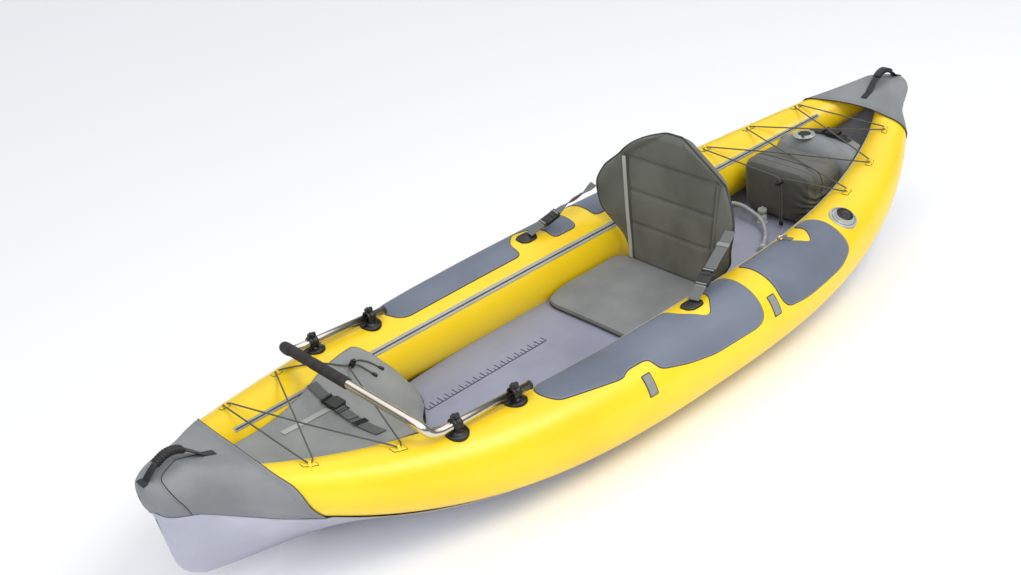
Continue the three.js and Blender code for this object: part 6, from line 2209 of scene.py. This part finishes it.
# Straps over the brace and the thwart with their buckles and sliders
lashes = {
    "buckleScale": 1.3,
    "width": 0.032,
    "thickness": 0.0024,
    "lift": 0.0015,
    "braceX": 0.602 * hull["half"],
    "brace": (-0.97, 0.6, -0.5),
    "thwartX": thwart["front"] - 0.6 * thwart["length"],
    "thwart": (-0.6, 0.7, 0.125),
    "buckle": (0.034, 0.046, 0.011),
}


def topFrame(topAt, x, t, lift=0.0):
    def spot(a, b):
        return Vector(np.reshape(topAt(a, b), 3))

    along = (spot(x + 0.013, t) - spot(x - 0.013, t)).normalized()
    over = spot(x, t + 0.05) - spot(x, t - 0.05)
    return toFrame(spot(x, t), along, along.cross(over)) @ shift((0, 0, lift))


def upsAlong(topAt, x, shares):
    return np.array([upOf(topFrame(topAt, x, float(t))) for t in shares])


def makeBuckle(name, turn):
    width, length, height = lashes["buckle"]
    pieces = []
    socket = [(-width / 2, -0.006), (width / 2, -0.006), (width / 2 - 0.001, length / 2 - 0.002),
              (-width / 2 + 0.001, length / 2 - 0.002)]
    pieces.append(addPlate(name + "Socket", roundCorners(socket, 0.004), 0.0, height, turn, "black",
                           0.0018, 3))
    tongue = [(-width / 2 + 0.003, -length / 2 + 0.001), (width / 2 - 0.003, -length / 2 + 0.001),
              (width / 2 - 0.003, -0.0065), (-width / 2 + 0.003, -0.0065)]
    pieces.append(addPlate(name + "Tongue", roundCorners(tongue, 0.003), 0.001, height * 0.72, turn, "black",
                           0.0014, 2))
    for s in (-1, 1):
        arm = [(s * (width / 2 - 0.0042), -0.008), (s * (width / 2 + 0.0008), -0.002),
               (s * (width / 2 + 0.0012), 0.008), (s * (width / 2 - 0.003), 0.010)]
        pieces.append(addPlate(f"{name}Arm{s + 1}", arm[::s], 0.0022, height - 0.0026, turn, "black",
                               0.001, 2))
    pieces.append(addPlate(name + "Bar", roundedBox(width - 0.008, 0.0042, 0.0018),
                           height * 0.6, height * 0.6 + 0.0052,
                           turn @ shift((0, -length / 2 + 0.007, 0)), "black", 0.001, 2))
    return joinPieces(name, pieces)


def makeSlider(name, turn):
    width = lashes["width"] + 0.007
    rung = roundedBox(width, 0.0036, 0.0016)
    rail = roundedBox(0.0034, 0.0186, 0.0014)
    pieces = [addPlate(name + "Rung", rung, 0.0004, 0.0036, turn @ shift((0, offset, 0)), "black", 0.0009)
              for offset in (-0.0075, 0.0, 0.0075)]
    pieces += [addPlate(name + "Rail", rail, 0.0002, 0.0032, turn @ shift((offset, 0, 0)), "black", 0.0009)
               for offset in (0.0017 - width / 2, width / 2 - 0.0017)]
    return joinPieces(name, pieces)


def makeLash(name, topAt, x, shares, node, sliders, tail, paint="blackWebbing"):
    start, stop, clip = shares
    t = np.linspace(start, stop, 90)
    lift = lashes["lift"] + lashes["thickness"] / 2 + 0.0012
    path = topAt(x, t) + np.array([0, 0, 1.0]) * lift
    band = bandBetween(name, path, upsAlong(topAt, x, t), lashes["width"], lashes["thickness"], paint)
    place(band, node)
    turn = topFrame(topAt, x, clip, lashes["lift"]) @ Matrix.Scale(lashes["buckleScale"], 4)
    place(makeBuckle(name + "Buckle", turn))
    top = lashes["lift"] + lashes["thickness"] + 0.0012
    for i, u in enumerate(sliders):
        place(makeSlider(f"{name}Slider{i + 1}", topFrame(topAt, x, u, top)))
    u = np.linspace(*tail, 40)
    wave = 0.0022 + 0.0022 * np.sin((u - tail[0]) / (tail[1] - tail[0]) * math.pi * 2.4) ** 2
    free = topAt(x, u) + np.array([0, 0, 1.0]) * (lift + wave)[:, None]
    size = lashes["width"] * 0.96, lashes["thickness"] * 0.8
    place(bandBetween(name + "Tail", free, upsAlong(topAt, x, u), *size, paint))


makeLash("braceStrap", braceTop, lashes["braceX"], lashes["brace"], "foot_brace_strap", (-0.3, 0.12),
         (-0.42, -0.02), "darkWebbing")
makeLash("thwartStrap", thwartTop, lashes["thwartX"], lashes["thwart"], "thwart_strap", (0.3, 0.48),
         (0.2, 0.56))
print("lashing straps tightened")


# Node group that lays small pieces along lines: blocks for teeth and marks, beads for stitches
def repeatGroup(kind):
    tree = bpy.data.node_groups.new(f"{kind}Repeat", "GeometryNodeTree")
    sockets = {"Geometry": "Geometry", "Spacing": "Float", "Length": "Float", "Width": "Float",
               "Height": "Float",
               "Jitter": "Float", "Seed": "Int", "Finish": "Material"}
    for name, sort in sockets.items():
        tree.interface.new_socket(name, in_out="INPUT", socket_type="NodeSocket" + sort)
    tree.interface.new_socket("Geometry", in_out="OUTPUT", socket_type="NodeSocketGeometry")

    def add(kind, values=None, **settings):
        return addNode(tree, kind, values, **settings).outputs

    given = add("NodeGroupInput")
    curve = add("GeometryNodeMeshToCurve", {"Mesh": given["Geometry"]})[0]
    places = add("GeometryNodeResampleCurve", {"Curve": curve, "Length": given["Spacing"]}, mode="LENGTH")[0]
    above = add("GeometryNodeInputNamedAttribute", {"Name": "above"}, data_type="FLOAT_VECTOR")["Attribute"]
    ahead = add("GeometryNodeInputTangent")["Tangent"]
    turned = add("FunctionNodeAxesToRotation", {"Primary Axis": above, "Secondary Axis": ahead},
                 primary_axis="Z", secondary_axis="X")["Rotation"]
    low = add("ShaderNodeMath", {0: 1.0, 1: given["Jitter"]}, operation="SUBTRACT")[0]
    high = add("ShaderNodeMath", {0: 1.0, 1: given["Jitter"]}, operation="ADD")[0]
    chance = add("FunctionNodeRandomValue", {2: low, 3: high, "Seed": given["Seed"]}, data_type="FLOAT")[1]
    long = add("ShaderNodeMath", {0: given["Length"], 1: chance}, operation="MULTIPLY")[0]
    size = add("ShaderNodeCombineXYZ", {"X": long, "Y": given["Width"], "Z": given["Height"]})[0]
    if kind == "bead":
        shape = add("GeometryNodeMeshUVSphere", {"Segments": 8, "Rings": 5, "Radius": 0.5})["Mesh"]
    else:
        shape = add("GeometryNodeMeshCube", {"Size": (1, 1, 1)})["Mesh"]
    copies = add("GeometryNodeInstanceOnPoints", {
        "Points": places, "Instance": shape, "Rotation": turned, "Scale": size})[0]
    real = add("GeometryNodeRealizeInstances", {"Geometry": copies})[0]
    painted = add("GeometryNodeSetMaterial", {"Geometry": real, "Material": given["Finish"]})[0]
    add("NodeGroupOutput", {"Geometry": painted})
    return tree


repeatGroups = {kind: repeatGroup(kind) for kind in ("bead", "block")}


# Pieces along lines, each line given as its points and the directions away from the surface
def addRepeats(name, lines, kind, paint, spacing, size, jitter=0.06):
    points, ups, edges = [], [], []
    for line, above in lines:
        start = len(points)
        points += [tuple(p) for p in line]
        ups.append(np.broadcast_to(np.asarray(above, float), (len(line), 3)))
        edges += [(start + i, start + i + 1) for i in range(len(line) - 1)]
    mesh = bpy.data.meshes.new(name + "Lines")
    mesh.from_pydata(points, edges, [])
    above = mesh.attributes.new("above", "FLOAT_VECTOR", "POINT")
    above.data.foreach_set("vector", np.concatenate(ups).ravel())
    source = addObject(name + "Lines", mesh)
    modifier = source.modifiers.new("repeat", "NODES")
    modifier.node_group = repeatGroups[kind]
    values = {"Spacing": spacing, "Length": size[0], "Width": size[1], "Height": size[2],
              "Jitter": jitter, "Seed": 3, "Finish": paints[paint]}
    for item in modifier.node_group.interface.items_tree:
        if item.in_out == "INPUT" and item.name in values:
            modifier[item.identifier] = values[item.name]
    shown = source.evaluated_get(bpy.context.evaluated_depsgraph_get())
    made = addObject(name, bpy.data.meshes.new_from_object(shown))
    bpy.data.objects.remove(source)
    made.data.polygons.foreach_set("use_smooth", [kind == "bead"] * len(made.data.polygons))
    made.data.polygons.foreach_set("material_index", [0] * len(made.data.polygons))
    made.data.materials.clear()
    made.data.materials.append(paints[paint])
    place(made)


# Measuring marks printed on the floor
ruler = {"start": (0.622, -0.0605), "end": (0.176, -0.0635), "step": 0.025, "long": 0.026, "short": 0.013,
         "wide": 0.0024, "ink": 0.0004}


def makeRuler():
    r = ruler
    level = floorPanel["top"] + r["ink"] / 2
    start, end = (np.array([*r[k], level]) for k in ("start", "end"))
    run = np.linalg.norm(end - start)
    ahead = (end - start) / run
    out = np.cross(ahead, (0, 0, 1)) * -1
    out = out * np.sign(-out[1])
    up = (0, 0, 1)
    size = (r["wide"], r["long"], r["ink"])
    place(addPlate("rulerLine", boxOutline(run, r["wide"] * 1.1), 0, r["ink"] * 2,
                   toFrame(Vector((start + end) / 2 - (0, 0, r["ink"])), Vector(ahead), up),
                   "ink", 0.0001, 1))
    marks = start + out * r["long"] / 2
    addRepeats("rulerMarks", [(np.array([marks, marks + ahead * run]), up)], "block", "ink", r["step"],
               size, 0)
    half = start + ahead * r["step"] / 2 + out * r["short"] / 2
    line = np.array([half, half + ahead * (run - r["step"])])
    addRepeats("rulerHalfMarks", [(line, up)], "block", "ink", r["step"],
               (r["wide"] * 0.8, r["short"], r["ink"]), 0)


makeRuler()


# Stitches, welts and zip teeth
sewing = {"spacing": 0.0048, "stitch": (0.0034, 0.0009, 0.0008), "toothSpacing": 0.0034,
          "tooth": (0.0014, 0.0052, 0.0012)}


def sew(name, lines):
    addRepeats(name, lines, "bead", "thread", sewing["spacing"], sewing["stitch"])


def gridNormals(rows):
    down = np.gradient(rows, axis=0)
    across = np.gradient(rows, axis=1)
    normals = np.cross(across, down)
    normals /= np.linalg.norm(normals, axis=2)[..., None] + 1e-12
    middle = normals[len(rows) // 3, rows.shape[1] // 2]
    return normals * np.sign(middle[2])


# Points on a cover from pairs of the distance forward and the column from the port lip
def alongCover(rows, normals, end, spots, count):
    spots = smoothPath(np.column_stack([np.array(spots), np.zeros(len(spots))]) * (1, 0.002, 1), count)
    line, ups = [], []
    for x, column, _ in spots:
        column = clamp(column / 0.002, 0, rows.shape[1] - 1.001)
        k, part = int(column), column - int(column)
        pair = rows[:, k] * (1 - part) + rows[:, k + 1] * part
        order = np.argsort(pair[:, 0] * end)
        line.append([np.interp(x, pair[order, 0] * end, pair[order, axis]) for axis in range(3)])
        near = normals[:, k]
        ups.append([np.interp(x, pair[order, 0] * end, near[order, axis]) for axis in range(3)])
    return np.array(line), np.array(ups)


def finishCover(rows, end, name):
    normals = gridNormals(rows)
    sew(f"{name}HemStitches", [(rows[i] + normals[i] * 0.0002, normals[i]) for i in covers["hemRows"]])
    edge = rows[0] + normals[0] * -0.0004
    place(addRod(f"{name}HemEdge", edge, 0.0011 if end > 0 else 0.002, "piping", 8))
    if end > 0:
        line, ups = alongCover(rows, normals, end, covers["noseWelt"], 160)
        place(addRod(f"{name}NoseWelt", line, 0.0012, "piping", 8))
        side = np.cross(np.gradient(line, axis=0), ups)
        side /= np.linalg.norm(side, axis=1)[:, None] + 1e-12
        sew(f"{name}NoseStitches", [(line + side * 0.005 + ups * 0.0004, ups)])


finishCover(bowRows, 1, "bow")
finishCover(sternRows, -1, "stern")


def makeTeeth(side):
    xs = np.linspace(-1, 1, 220) * strips["reach"] * 0.995
    line = onTube(xs, strips["angle"], 0.0021, side)
    inner = onTube(xs, strips["angle"], 0.0, side)
    addRepeats(f"{sideNames[side]}ZipTeeth", [(line, line - inner)], "block", "piping",
               sewing["toothSpacing"], sewing["tooth"], 0)
    lines = []
    for offset in (-0.78, 0.78):
        angle = strips["angle"] + offset * strips["half"]
        spots = onTube(xs, angle, strips["lift"] + 0.0003, side)
        lines.append((spots, spots - onTube(xs, angle, 0.0, side)))
    sew(f"{sideNames[side]}TapeStitches", lines)


bothSides(makeTeeth)


# Tape along the brace's top
def makeBraceTape():
    xs, shares = (np.linspace(*ends, 40) for ends in brace["tape"])
    line = np.array([braceTop(x, t) for x, t in zip(xs, shares)]) + (0, 0, 0.0022)
    place(bandBetween("braceTape", line, (0, 0.1, 1), brace["tapeWidth"], 0.0016, "strip"))


makeBraceTape()
print("seams stitched")


# Light, floor and background
studio = {
    "ambient": 0.85,
    "ambientColour": (0.93, 0.96, 1.0, 1),
    "white": (1, 1, 1, 1),
    "lamps": {
        "keyLamp": ((-0.7, 2.7, 4.2), 95.0, 2.2, (1.0, 0.98, 0.94)),
        "fillLamp": ((3.0, 1.6, 2.6), 30.0, 3.0, (0.95, 0.97, 1.0)),
    },
    "glossRise": (0.38, 0.66),
    "glossStrength": (0.22, 1.5),
}


def makeStudio():
    world = bpy.data.worlds.new("studio")
    bpy.context.scene.world = world
    world.use_nodes = True
    tree = world.node_tree
    tree.nodes.clear()

    def add(kind, values=None, **settings):
        return addNode(tree, "ShaderNode" + kind, values, **settings).outputs

    def sky(strength, colour):
        return add("Background", {"Color": colour, "Strength": strength})[0]

    rays = add("LightPath")
    seen = add("Math", {0: rays["Is Camera Ray"], 1: rays["Is Transmission Ray"]}, operation="MAXIMUM")[0]
    # Reflections see a dark horizon and a bright sky, as under a large soft box
    height = add("SeparateXYZ", {0: add("TexCoord")["Generated"]})["Z"]
    ends = dict(zip(("From Min", "From Max", "To Min", "To Max"),
                    studio["glossRise"] + studio["glossStrength"]))
    rise = add("MapRange", {"Value": height, **ends}, interpolation_type="SMOOTHSTEP")["Result"]
    ambient, gloss = sky(studio["ambient"], studio["ambientColour"]), sky(rise, studio["white"])
    unseen = add("MixShader", {0: rays["Is Glossy Ray"], 1: ambient, 2: gloss})[0]
    mixed = add("MixShader", {0: seen, 1: unseen, 2: sky(1.0, studio["white"])})[0]
    add("OutputWorld", {"Surface": mixed})
    for name, (place, watts, size, colour) in studio["lamps"].items():
        addLamp(name, place, watts, size, colour)


def addLamp(name, place, watts, size, colour):
    data = bpy.data.lights.new(name, "AREA")
    data.energy, data.size, data.color = watts, size, colour
    made = addObject(name, data)
    made.location = place
    made.rotation_euler = (Vector((0, 0, 0.1)) - Vector(place)).to_track_quat("-Z", "Y").to_euler()


def makeGround():
    points = [(-40, -40, 0), (40, -40, 0), (40, 40, 0), (-40, 40, 0)]
    paint = Paint("studioFloor", None)
    dust = paint.noise(0.8, 3.0)
    paints["ground"] = paint.finish(**{
        "Base Color": paint.blend(dust, "f9f9f9", "fbfbfb"), "Roughness": 0.9, "Specular IOR Level": 0.1})
    ground = addMesh("ground", points, [[0, 1, 2, 3]], "ground")
    ground.data.transform(shift((0, 0, -0.0005)))


makeStudio()
makeGround()
bpy.context.scene.view_settings.view_transform = "Standard"
